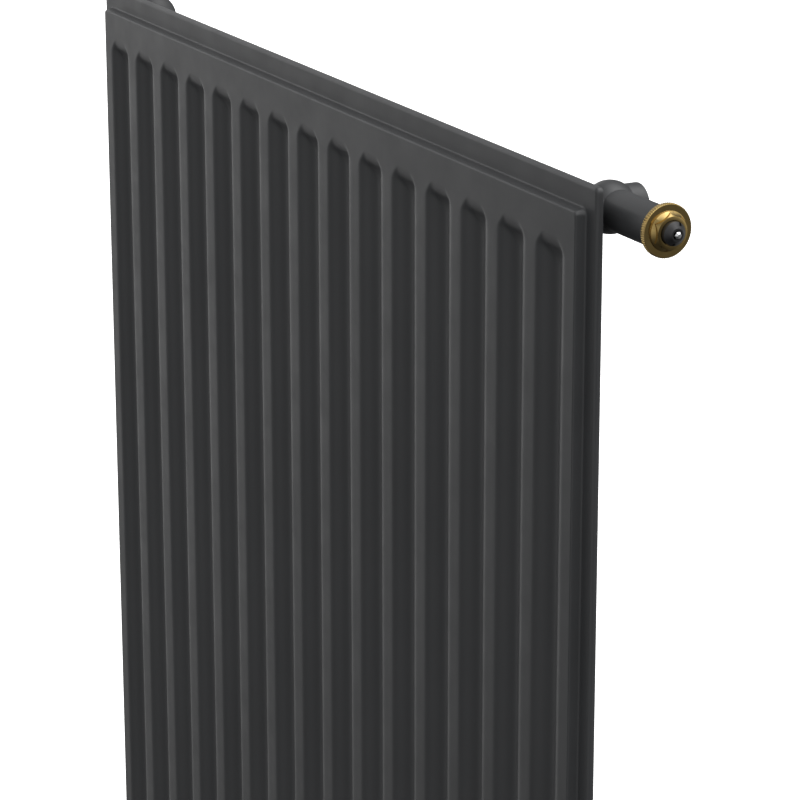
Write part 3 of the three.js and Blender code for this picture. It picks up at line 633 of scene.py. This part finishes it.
def strip_outline(centreline, thickness, radius):
    """Outline of a bent strip: its centreline offset to both sides, with rounded bends."""
    line = np.array(centreline, float)
    sides = []
    for side in (1, -1):
        offset = []
        for i, point in enumerate(line):
            normals = []
            for a, b in ((i - 1, i), (i, i + 1)):
                if 0 <= a and b < len(line):
                    run = (line[b] - line[a]) / np.linalg.norm(line[b] - line[a])
                    normals.append(np.array([-run[1], run[0]]))
            mean = sum(normals) / len(normals)
            mean = mean / (mean @ normals[0]) if len(normals) > 1 else normals[0]
            offset.append(point + side * mean * thickness / 2)
        sides.append(offset)
    points = sides[1] + sides[0][::-1]
    count = len(line)
    radii = []
    for order in (line, line[::-1]):
        for i in range(count):
            if i in (0, count - 1):
                radii.append(thickness * 0.2)
                continue
            a, b = order[i] - order[i - 1], order[i + 1] - order[i]
            turn = a[0] * b[1] - a[1] * b[0]
            radii.append(radius if turn < 0 else radius + thickness)
    return arc_outline([tuple(p) for p in points], radii)


FIN_COUNT = 12
FIN_SHEET = 1.0
FIN_HALF_ROOT = 9.55
FIN_HALF_TIP = 14.55
FIN_BEND_R = 1.6
for number in range(1, FIN_COUNT + 1):
    node = f"convector_fin_{number:02d}"
    low, high = box_mm(node)
    middle = (low[0] + high[0]) / 2
    root, tip = low[1] + FIN_SHEET / 2, high[1]
    path = [
        (middle + FIN_HALF_TIP, tip), (middle + FIN_HALF_ROOT, root),
        (middle - FIN_HALF_ROOT, root), (middle - FIN_HALF_TIP, tip),
    ]
    fin = extruded(f"fin_{number:02d}", strip_outline(path, FIN_SHEET, FIN_BEND_R), low[2], high[2], 0.15)
    outward(fin)
    finish_piece(fin, "root", "painted_back", BACK_PAINT, node)

LUG_SHEET = 3.0
LUG_HALF_W = 17.0
LUG_BEND_R = 1.2
SLOT_HALF_W = 7
SLOT_HALF_H = 11
for level in ("upper", "lower"):
    for hand in ("left", "right"):
        node = f"hanger_lug_{level}_{hand}"
        low, high = box_mm(node)
        cx, cz = (low[0] + high[0]) / 2, (low[2] + high[2]) / 2
        foot, back = low[1] + LUG_SHEET / 2, high[1] - LUG_SHEET / 2
        end, cheek = (high[0] - low[0]) / 2, LUG_HALF_W - LUG_SHEET / 2
        path = [
            (cx + end, foot), (cx + cheek, foot), (cx + cheek, back),
            (cx - cheek, back), (cx - cheek, foot), (cx - end, foot),
        ]
        outline = strip_outline(path, LUG_SHEET, LUG_BEND_R)
        lug = extruded(f"lug_{level}_{hand}", outline, low[2], high[2], 0.4)
        outward(lug)
        w, h = SLOT_HALF_W, SLOT_HALF_H
        slot_shape = arc_outline([(-w, -h), (w, -h), (w, h), (-w, h)], [w - 0.1] * 4, 8)
        cutter = extruded("slot_cutter", slot_shape, -6, 6, 0.1)
        verts = np.array([v.co for v in cutter.data.vertices])
        moved = np.column_stack([verts[:, 0] + cx * MM, verts[:, 2], verts[:, 1] + cz * MM])
        cutter.data.vertices.foreach_set("co", moved.ravel())
        outward(cutter)
        boolean(lug, cutter, "DIFFERENCE")
        finish_piece(lug, "root", "painted_back", BACK_PAINT, node)

# ---- valve tee and hubs ----
BALL_R = 17.6
STUB_R = 13.7
BORE_R = 10.8
PORT_R = 8
GAP = 0.3
FRONT_STUB = REAR_HIGH[1] + GAP - HUB_Y
TUBE_END = 64.7
TUBE_LIP_R = 12.4
TUBE_LIP = 3
TUBE_CUT_END = TUBE_END + 1.3
INNER_BORE_R = 8.7
INNER_BORE_END = -18.3
CAP_FRONT = 19.2
CAP_BACK = 22.2
RISER_R = 6.0
RISER_BORE = 4.6
RISER_SEAT = -22.5
RISER_STUB_R = 7.7
RISER_STUB_END = -26
SIDE_STUB_END = -31
RETURN_STUB_R = 13.5
SMOOTH = math.radians(28)


def sphere(name, centre, radius, segs=96):
    """A ball of rows along X; its two poles are moved out to the full radius."""
    rows = segs // 2
    t = np.linspace(0, math.pi, rows + 1)[1:-1]
    reach = np.repeat((-radius * np.cos(t))[:, None], segs, 1)
    ring = np.repeat((radius * np.sin(t))[:, None], segs, 1)
    obj = polar(name, reach, ring, "x", centre)
    for v in obj.data.vertices[(rows - 1) * segs:]:
        side = 1 if v.co.x > centre[0] * MM else -1
        v.co.x = (centre[0] + side * radius) * MM
    return obj


def rod(name, start, end, radius, axis, centre, near=0.0, far=0.0, segs=96):
    profile = [(start, 0), (start, radius, near), (end, radius, far), (end, 0)]
    return lathe(name, profile, axis, centre, segs=segs)


def bored(obj, bores):
    """Cuts round bores, each (start, end, radius, axis, centre), out of a casting."""
    for start, end, radius, axis, centre in bores:
        boolean(obj, rod("t", start, end, radius, axis, centre, segs=64), "DIFFERENCE", SMOOTH)


tee_centre = HUBS["top_right"]
tee = sphere("tee", tee_centre, BALL_R)
boolean(tee, rod("t", 0, TUBE_END, STUB_R, "x", tee_centre, 0, 0.5), "UNION", SMOOTH)
boolean(tee, rod("t", FRONT_STUB, CAP_FRONT - 0.01, STUB_R, "y", tee_centre), "UNION", SMOOTH)
riser_stub = [
    (RISER_STUB_END, 0), (RISER_STUB_END, RISER_STUB_R, 0.6), (-20.3, RISER_STUB_R, 0.6),
    (-18.8, 10.4, 0.4), (0, 10.4), (0, 0),
]
boolean(tee, lathe("t", riser_stub, "x", tee_centre), "UNION", SMOOTH)
bored(tee, [
    (INNER_BORE_END, TUBE_CUT_END, INNER_BORE_R, "x", tee_centre),
    (RISER_STUB_END - 1, 0, RISER_BORE, "x", tee_centre),
    (RISER_STUB_END - 1, RISER_SEAT, RISER_R + GAP, "x", tee_centre),
    (0, TUBE_CUT_END, BORE_R, "x", tee_centre),
    (TUBE_END - TUBE_LIP, TUBE_CUT_END, TUBE_LIP_R, "x", tee_centre),
    (FRONT_STUB - 1, 0, PORT_R, "y", tee_centre),
])
finish_piece(tee, "root", "paint", PAINT, "valve_tee")
cap = rod("tee_cap", CAP_FRONT, CAP_BACK, STUB_R, "y", tee_centre, 0, 1.4)
finish_piece(cap, "root", "paint", PAINT, "tee_rear_cap")

for name, node, spot in (("hub_vent", "vent_hub", "top_left"), ("hub_blank", "blank_hub", "bottom_left")):
    centre = HUBS[spot]
    hub = sphere(name, centre, BALL_R)
    boolean(hub, rod("t", SIDE_STUB_END, 0, STUB_R, "x", centre, 0.6), "UNION", SMOOTH)
    boolean(hub, rod("t", FRONT_STUB, 0, STUB_R, "y", centre), "UNION", SMOOTH)
    bored(hub, [(SIDE_STUB_END - 1, 0, BORE_R, "x", centre), (FRONT_STUB - 1, 0, PORT_R, "y", centre)])
    finish_piece(hub, "root", "painted_back", BACK_PAINT, node)

centre = HUBS["bottom_right"]
hub = sphere("hub_return", centre, BALL_R)
boolean(hub, rod("t", -centre[2], 0, RETURN_STUB_R, "z", centre, 0.7), "UNION", SMOOTH)
boolean(hub, rod("t", FRONT_STUB, 0, STUB_R, "y", centre), "UNION", SMOOTH)
bored(hub, [(-centre[2] - 1, 0, BORE_R, "z", centre), (FRONT_STUB - 1, 0, PORT_R, "y", centre)])
finish_piece(hub, "root", "painted_back", BACK_PAINT, "return_hub")

# ---- riser ----
BEND_R = 17.0
BEND_STEPS = 20
PIPE_SEGS = 48
riser_low, riser_high = box_mm("riser_pipe")
FLOW_X = riser_low[0] + RISER_R


def riser_route():
    """Points and directions along the riser's centreline: straight up, then a quarter turn towards +X."""
    route = [((FLOW_X, HUB_Y, z), (0, 0, 1)) for z in (riser_low[2], 300.0, 600.0)]
    for i in range(BEND_STEPS + 1):
        a = math.pi / 2 * i / BEND_STEPS
        point = (FLOW_X + BEND_R * (1 - math.cos(a)), HUB_Y, TOP_AXIS - BEND_R * (1 - math.sin(a)))
        route.append((point, (math.sin(a), 0, math.cos(a))))
    return route + [((riser_high[0], HUB_Y, TOP_AXIS), (1, 0, 0))]


def riser():
    """A hollow pipe: rings up the outside of the route and back down its bore, joined in a loop."""
    turn = np.linspace(0, 2 * math.pi, PIPE_SEGS, endpoint=False)
    shells = []
    for radius in (RISER_R, RISER_BORE):
        rings = []
        for point, direction in riser_route():
            up = np.cross(direction, (0, 1, 0))
            ring = np.outer(np.cos(turn), (0, radius, 0)) + np.outer(np.sin(turn), up * radius)
            rings.append(ring + np.array(point))
        shells.append(rings)
    rings = shells[0] + shells[1][::-1]
    index = np.arange(len(rings) * PIPE_SEGS).reshape(len(rings), PIPE_SEGS)
    ahead, beyond = np.roll(index, -1, 1), np.roll(index, -1, 0)
    faces = np.stack([index, ahead, np.roll(beyond, -1, 1), beyond], -1).reshape(-1, 4)
    obj = add_object("riser", np.concatenate(rings), faces.tolist())
    outward(obj)
    return obj


finish_piece(riser(), "root", "painted_back", BACK_PAINT, "riser_pipe")
socket_profile = [
    (0, BORE_R), (0, RETURN_STUB_R, 0.8), (21, RETURN_STUB_R, 1.2), (24, 8.4, 0.5),
    (24, RISER_R + GAP), (16, RISER_R + GAP), (16, 4), (14, 4), (14, BORE_R), (0, BORE_R),
]
socket = lathe("flow_fitting", socket_profile, "z", (FLOW_X, HUB_Y, 0))
finish_piece(socket, "root", "painted_back", BACK_PAINT, "flow_socket")

# ---- valve insert; reach 0 is the front face of its flange ----
TEETH = 72
SEGS = TEETH * 4
around = np.linspace(0, 2 * math.pi, SEGS, endpoint=False)
INSERT_END = -87
SEAT_FACE = -81
WINDOW_FROM = -73
WINDOW_TO = -55
WINDOW_HALF_W = 3.5
CAGE_R = 8.1
CAGE_START = -30
SEAT_R = 4.2
SHANK_R = 10.2
RIM_R = 17.65
TOOTH = 0.36
COLLAR_R = 13.2
CONE_R = 10.4
HEX_HALF = 10.75
HEX_FRONT = 5.6
HEX_FACE_R = 10.6
HEX_CORNER_R = HEX_HALF / math.cos(math.pi / 6)
HEX_CHAMFER = 2.8
RING_BORE = 8.1
SLEEVE_R = 6.3


def hex_radius(angle, half):
    folded = (angle + math.pi / 6) % (math.pi / 3) - math.pi / 6
    return half / np.cos(folded)


def rows_to_arrays(rows):
    """Rows of (reach, radius), each a number or one value per segment, as two full arrays."""
    reach = np.array([np.broadcast_to(a, SEGS) for a, _ in rows], float)
    radius = np.array([np.broadcast_to(r, SEGS) for _, r in rows], float)
    return reach, radius


def insert_body():
    """Rows run from the inner end round the outside to the front, and back through the bore."""
    tooth = np.array([0.0, TOOTH, TOOTH, 0.0])[np.arange(SEGS) % 4]
    rim = RIM_R - tooth
    hexed = hex_radius(around, HEX_HALF)
    front = HEX_FRONT - (hexed - HEX_FACE_R) / (HEX_CORNER_R - HEX_FACE_R) * HEX_CHAMFER
    rear = 0.95 + (13.0 - hexed) / (13.0 - CONE_R) * 3.1
    cage = [
        (INSERT_END, SEAT_R), (INSERT_END, 7.8), (-86.7, CAGE_R), (-85.4, CAGE_R), (-85.4, 6.8),
        (-83, 6.8), (-83, CAGE_R), (CAGE_START, CAGE_R),
    ]
    shank = [(-29.2, SHANK_R), (-5.4, SHANK_R), (-5.4, 9.6), (-4, 9.6)]
    flange = [
        (-4, 16.9), (-3.9, 17.25), (-3.75, rim), (-0.4, rim), (-0.12, 17.3), (0, 17.1), (0, COLLAR_R + 0.05),
    ]
    collar = [(0.06, COLLAR_R), (0.72, COLLAR_R), (0.86, COLLAR_R - 0.06), (0.9, 13.0), (0.95, 12.9)]
    hexagon = [
        (rear - 0.12, hexed + 0.1), (rear + 0.05, hexed), (front - 0.12, hexed), (front + 0.06, hexed - 0.07),
        (HEX_FRONT - 0.05, 10.68), (HEX_FRONT, 10.55), (HEX_FRONT, RING_BORE + 0.2),
    ]
    bore = [
        (HEX_FRONT - 0.2, RING_BORE), (1, RING_BORE), (1, SLEEVE_R),
        (SEAT_FACE, SLEEVE_R), (SEAT_FACE, SEAT_R),
    ]
    reach, radius = rows_to_arrays(cage + shank + flange + collar + hexagon + bore)
    body = polar("insert", reach, radius, "x", INSERT, closed=True, sharp=math.radians(25))
    x0, x1 = INSERT[0] + WINDOW_FROM, INSERT[0] + WINDOW_TO
    for half_y, half_z in ((12, WINDOW_HALF_W), (WINDOW_HALF_W, 12)):
        window = block("t", (x0, HUB_Y - half_y, TOP_AXIS - half_z), (x1, HUB_Y + half_y, TOP_AXIS + half_z))
        boolean(body, window, "DIFFERENCE", math.radians(25))
    return body


finish_piece(insert_body(), "root", "brass", BRASS, "insert_body")

RING_R = 7.9
RING_SHOULDER = 7.9
RING_NOSE = 11.4
RING_NOSE_R = 4.3
RING_HOLE_R = 3
NOTCH_TURNS = (-0.5, math.pi - 0.2)


def setting_ring():
    profile = [
        (-1.6, RING_HOLE_R), (-1.6, 6, 0.2), (1.3, 6, 0.1), (1.3, RING_R, 0.3), (RING_SHOULDER, RING_R, 0.7),
        (RING_NOSE - 0.5, RING_NOSE_R + 0.5, 0.3), (RING_NOSE, RING_NOSE_R, 0.4),
        (RING_NOSE, RING_HOLE_R + 0.2, 0.15), (RING_NOSE - 0.2, RING_HOLE_R, 0.1), (-1.6, RING_HOLE_R),
    ]
    ring = lathe("preset_ring", profile, "x", INSERT)
    for turn in NOTCH_TURNS:
        notch = block("t", (RING_SHOULDER - 1, -0.9, RING_R - 2), (RING_SHOULDER + 5, 0.9, RING_R + 0.4))
        for v in notch.data.vertices:
            y, z = v.co.y, v.co.z
            v.co.y = y * math.cos(turn) - z * math.sin(turn)
            v.co.z = y * math.sin(turn) + z * math.cos(turn)
            v.co += Vector(INSERT) * MM
        boolean(ring, notch, "DIFFERENCE")
    return ring


finish_piece(setting_ring(), "presetting", "black_plastic", BLACK, "setting_ring")

PIN_R = 2.5
PIN_END = -19.7
PIN_TIP = 13.4


def faceted_pin():
    shank = rod("pin", PIN_END, 1, PIN_R, "x", INSERT, 0.2, 0)
    head_rows = [(0.0, PIN_R), (PIN_TIP - 1.3, PIN_R), (PIN_TIP - 0.1, 1.35), (PIN_TIP, 1.15)]
    reach, radius = (np.repeat(np.array(column)[:, None], 6, 1) for column in zip(*head_rows))
    head = polar("t", reach, radius, "x", INSERT, sharp=math.radians(15))
    boolean(shank, head, "UNION", math.radians(20))
    return shank


finish_piece(faceted_pin(), "stem", "bright_steel", STEEL, "valve_pin")

# ---- plugs on the left; reach is from the hub's centre towards -X ----
PLUG_END = 19
PLUG_HEAD = 33
PLUG_FACE = 34.7
PLUG_R = 13
SEAL_BACK = 31.3
SEAL_FRONT = 32.7
SEAL_R = 12.6
PLUG_HEX_HALF = 9.5
PLUG_HEX_FACE = 38.2
RECESS_R = 6
RECESS_FLOOR = 35.7
VENT_BORE_R = 3.2
VENT_SEAT_R = 1.4
VENT_SEAT = 22.7
TRACK_FLOOR = 33.1
TRACK_R = 7.4
TRACK_INNER_R = 4.4
SPOUT_BACK = 33.4
SPOUT_FRONT = 37.7
SPOUT_R = 7
SPOUT_BORE_R = 4.8
ARM_BACK = 34.9
ARM_HALF_W = 2.2
SCREW_END = 24.8
SCREW_FRONT = 37.1
SCREW_R = 2.7
SCREW_HEAD_R = 2.6
SLOT_FLOOR = 35.9


def plug_seal(name, spot):
    ring = [
        (SEAL_BACK, BORE_R), (SEAL_BACK, SEAL_R, 0.5), (SEAL_FRONT, SEAL_R, 0.5), (SEAL_FRONT, BORE_R),
        (SEAL_BACK, BORE_R),
    ]
    return lathe(name, ring, "x", HUBS[spot], True)


def blind_plug():
    hexed = hex_radius(around, PLUG_HEX_HALF)
    rows = [
        (PLUG_END, 9.5), (PLUG_END + 0.7, SHANK_R), (PLUG_HEAD, SHANK_R), (PLUG_HEAD, PLUG_R - 0.4),
        (PLUG_HEAD + 0.3, PLUG_R), (PLUG_FACE - 0.4, PLUG_R), (PLUG_FACE, PLUG_R - 0.4),
        (PLUG_FACE, hexed + 0.3), (PLUG_FACE + 0.25, hexed), (PLUG_HEX_FACE - (hexed - 9.3) * 0.6, hexed),
        (PLUG_HEX_FACE, 9.2), (PLUG_HEX_FACE, RECESS_R + 0.4), (PLUG_HEX_FACE - 0.3, RECESS_R),
        (RECESS_FLOOR, RECESS_R),
    ]
    reach, radius = rows_to_arrays(rows)
    return polar("plug_blind", reach, radius, "x", HUBS["bottom_left"], True)


def vent_plug():
    profile = [
        (PLUG_END, VENT_SEAT_R), (PLUG_END, SHANK_R, 0.6), (PLUG_HEAD, SHANK_R), (PLUG_HEAD, PLUG_R, 0.4),
        (PLUG_FACE, PLUG_R, 0.5), (PLUG_FACE, TRACK_R, 0.1), (TRACK_FLOOR, TRACK_R),
        (TRACK_FLOOR, TRACK_INNER_R), (PLUG_FACE, TRACK_INNER_R, 0.2), (PLUG_FACE, VENT_BORE_R, 0.2),
        (VENT_SEAT, VENT_BORE_R), (VENT_SEAT, VENT_SEAT_R), (PLUG_END, VENT_SEAT_R),
    ]
    return lathe("plug_vent", profile, "x", HUBS["top_left"], True)


def shifted(obj, centre):
    """Moves a part built about the origin to its place, half a turn round so that it points to -X."""
    for v in obj.data.vertices:
        v.co = Vector((-v.co.x, -v.co.y, v.co.z)) + Vector(centre) * MM
    return obj


def vent_spout():
    centre = HUBS["top_left"]
    ring = [
        (SPOUT_BACK, SPOUT_BORE_R), (SPOUT_BACK, SPOUT_R, 0.2), (SPOUT_FRONT, SPOUT_R, 0.8),
        (SPOUT_FRONT, SPOUT_BORE_R, 0.3), (SPOUT_BACK, SPOUT_BORE_R),
    ]
    spout = lathe("spout", ring, "x", centre, True)
    corners = [
        (ARM_BACK, -ARM_HALF_W), (SPOUT_FRONT, -ARM_HALF_W),
        (SPOUT_FRONT, ARM_HALF_W), (ARM_BACK, ARM_HALF_W),
    ]
    arm = extruded("t", arc_outline(corners, [0.7] * 4), -12, -5.6, 0.3)
    boolean(spout, shifted(arm, centre), "UNION")
    channel = block("t", (SLOT_FLOOR, -1, -13), (SLOT_FLOOR + 1, 1, -4))
    return boolean(spout, shifted(channel, centre), "DIFFERENCE")


def bleed_screw():
    centre = HUBS["top_left"]
    profile = [
        (SCREW_END, 0), (SCREW_END, SCREW_R, 0.3), (PLUG_FACE - 0.5, SCREW_R, 0.1),
        (PLUG_FACE - 0.5, SCREW_HEAD_R), (SCREW_FRONT, SCREW_HEAD_R, 0.5), (SCREW_FRONT, 0),
    ]
    screw = lathe("screw", profile, "x", centre, True)
    slot = block("t", (SLOT_FLOOR, -0.5, -4), (SPOUT_FRONT, 0.5, 4))
    return boolean(screw, shifted(slot, centre), "DIFFERENCE")


finish_piece(plug_seal("seal_vent", "top_left"), "root", "rubber", RUBBER, "vent_plug_seal")
finish_piece(plug_seal("seal_blind", "bottom_left"), "root", "rubber", RUBBER, "blind_plug_seal")
finish_piece(blind_plug(), "root", "nickel", NICKEL, "blind_plug")
finish_piece(vent_plug(), "root", "nickel", NICKEL, "air_vent_plug")
finish_piece(vent_spout(), "spout", "white_plastic", WHITE, "vent_spout")
finish_piece(bleed_screw(), "vent_screw", "bright_steel", STEEL, "bleed_screw")

# ---- carried-over CAD nodes ----
# Small hidden parts whose CAD shape is right: they only get a better material.
CARRIED_OVER = {
    "insert_flange_seal": RUBBER,
    "insert_end_seal": RUBBER,
    "gland_seal": RUBBER,
    "valve_disc": RUBBER,
    "vent_seal": RUBBER,
    "throttle_sleeve": INNER_BRASS,
    "gland_bush": INNER_BRASS,
    "spring_plate": INNER_BRASS,
    "disc_holder": INNER_BRASS,
    "spindle_guide": INNER_BRASS,
    "valve_spindle": STEEL,
    "return_spring": STEEL,
}
for node, material in CARRIED_OVER.items():
    for slot in frame["nodes"][node].material_slots:
        slot.material = material

# ---- stage, light and camera ----


# How bright the surroundings are: an even base, and soft lobes (towards, strength, narrowness).
WORLD_BASE = 0.06
WORLD_LOBES = [
    ((-0.98, -0.10, 0.10), 1.6, 8.0),
    ((0.76, -0.05, 0.65), 1.6, 8.0),
    ((0.1, 0.3, 0.95), 3.2, 8.0),
    ((0.46, 0.83, 0.32), 1.3, 8.0),
    ((0, 0.9, -0.4), 0.6, 8.0),
    ((0.71, -0.69, 0.12), 0.36, 8.0),
    ((0.3, -0.9, 0.3), 0.48, 3.0),
]


def stage_floor():
    size, level = 40.0, -0.12
    mesh = bpy.data.meshes.new("floor")
    verts = [(-size, -size, level), (size, -size, level), (size, size, level), (-size, size, level)]
    mesh.from_pydata(verts, [], [(0, 1, 2, 3)])
    floor = bpy.data.objects.new("floor", mesh)
    bpy.context.scene.collection.objects.link(floor)
    n = Nodes("floor_white")
    n.set("Base Color", (0.9, 0.9, 0.9))
    n.set("Roughness", 0.9)
    n.set("Emission Color", (1.0, 1.0, 1.0))
    n.set("Emission Strength", 0.8)
    mesh.materials.append(n.material)
    floor.visible_diffuse = False
    floor.visible_glossy = False


def area_light(name, place, target, size, power):
    data = bpy.data.lights.new(name, "AREA")
    data.shape = "RECTANGLE"
    data.size, data.size_y = size
    data.energy = power
    lamp = bpy.data.objects.new(name, data)
    bpy.context.scene.collection.objects.link(lamp)
    lamp.location = place
    lamp.rotation_euler = (Vector(target) - Vector(place)).to_track_quat("-Z", "Y").to_euler()


def studio_world():
    """Soft light from the lobes above; the camera itself sees plain white behind the object."""
    world = bpy.data.worlds.new("studio")
    world.use_nodes = True
    bpy.context.scene.world = world
    tree = world.node_tree
    tree.nodes.clear()
    link = tree.links.new

    def maths(operation, a, b):
        node = tree.nodes.new("ShaderNodeMath")
        node.operation = operation
        for slot, value in enumerate((a, b)):
            if isinstance(value, (int, float)):
                node.inputs[slot].default_value = value
            else:
                link(value, node.inputs[slot])
        return node.outputs[0]

    direction = tree.nodes.new("ShaderNodeTexCoord").outputs["Generated"]
    level = WORLD_BASE
    for towards, strength, narrow in WORLD_LOBES:
        dot = tree.nodes.new("ShaderNodeVectorMath")
        dot.operation = "DOT_PRODUCT"
        link(direction, dot.inputs[0])
        dot.inputs[1].default_value = Vector(towards).normalized()
        facing = maths("MAXIMUM", dot.outputs["Value"], 0.0)
        lobe = maths("MULTIPLY", maths("POWER", facing, narrow), strength)
        level = maths("ADD", lobe, level)
    out = tree.nodes.new("ShaderNodeOutputWorld")
    plain = tree.nodes.new("ShaderNodeBackground")
    soft = tree.nodes.new("ShaderNodeBackground")
    plain.inputs["Color"].default_value = (1, 1, 1, 1)
    soft.inputs["Color"].default_value = (1, 1, 1, 1)
    link(level, soft.inputs["Strength"])
    path = tree.nodes.new("ShaderNodeLightPath")
    mix = tree.nodes.new("ShaderNodeMixShader")
    link(path.outputs["Is Camera Ray"], mix.inputs["Fac"])
    link(soft.outputs[0], mix.inputs[1])
    link(plain.outputs[0], mix.inputs[2])
    link(mix.outputs[0], out.inputs["Surface"])


CAMERA_PLACE = (2.0633, -1.0721, 1.3860)
CAMERA_DOWN = 16.334
CAMERA_ROLL = 0.062
CAMERA_TURN = 62.266
CAMERA_LENS = 145.0
CAMERA_SHIFT = -0.10


def add_camera():
    data = bpy.data.cameras.new("camera")
    data.sensor_width = 36.0
    data.lens = CAMERA_LENS
    data.shift_y = CAMERA_SHIFT
    data.clip_end = 100.0
    camera = bpy.data.objects.new("camera", data)
    bpy.context.scene.collection.objects.link(camera)
    camera.location = CAMERA_PLACE
    camera.rotation_euler = [math.radians(a) for a in (90 - CAMERA_DOWN, CAMERA_ROLL, CAMERA_TURN)]
    bpy.context.scene.camera = camera


stage_floor()
studio_world()
area_light("key", (-2.2, -2.6, 2.6), (0.1, 0, 0.6), (2.4, 2.4), 8)
add_camera()
bpy.context.scene.view_settings.view_transform = "Standard"
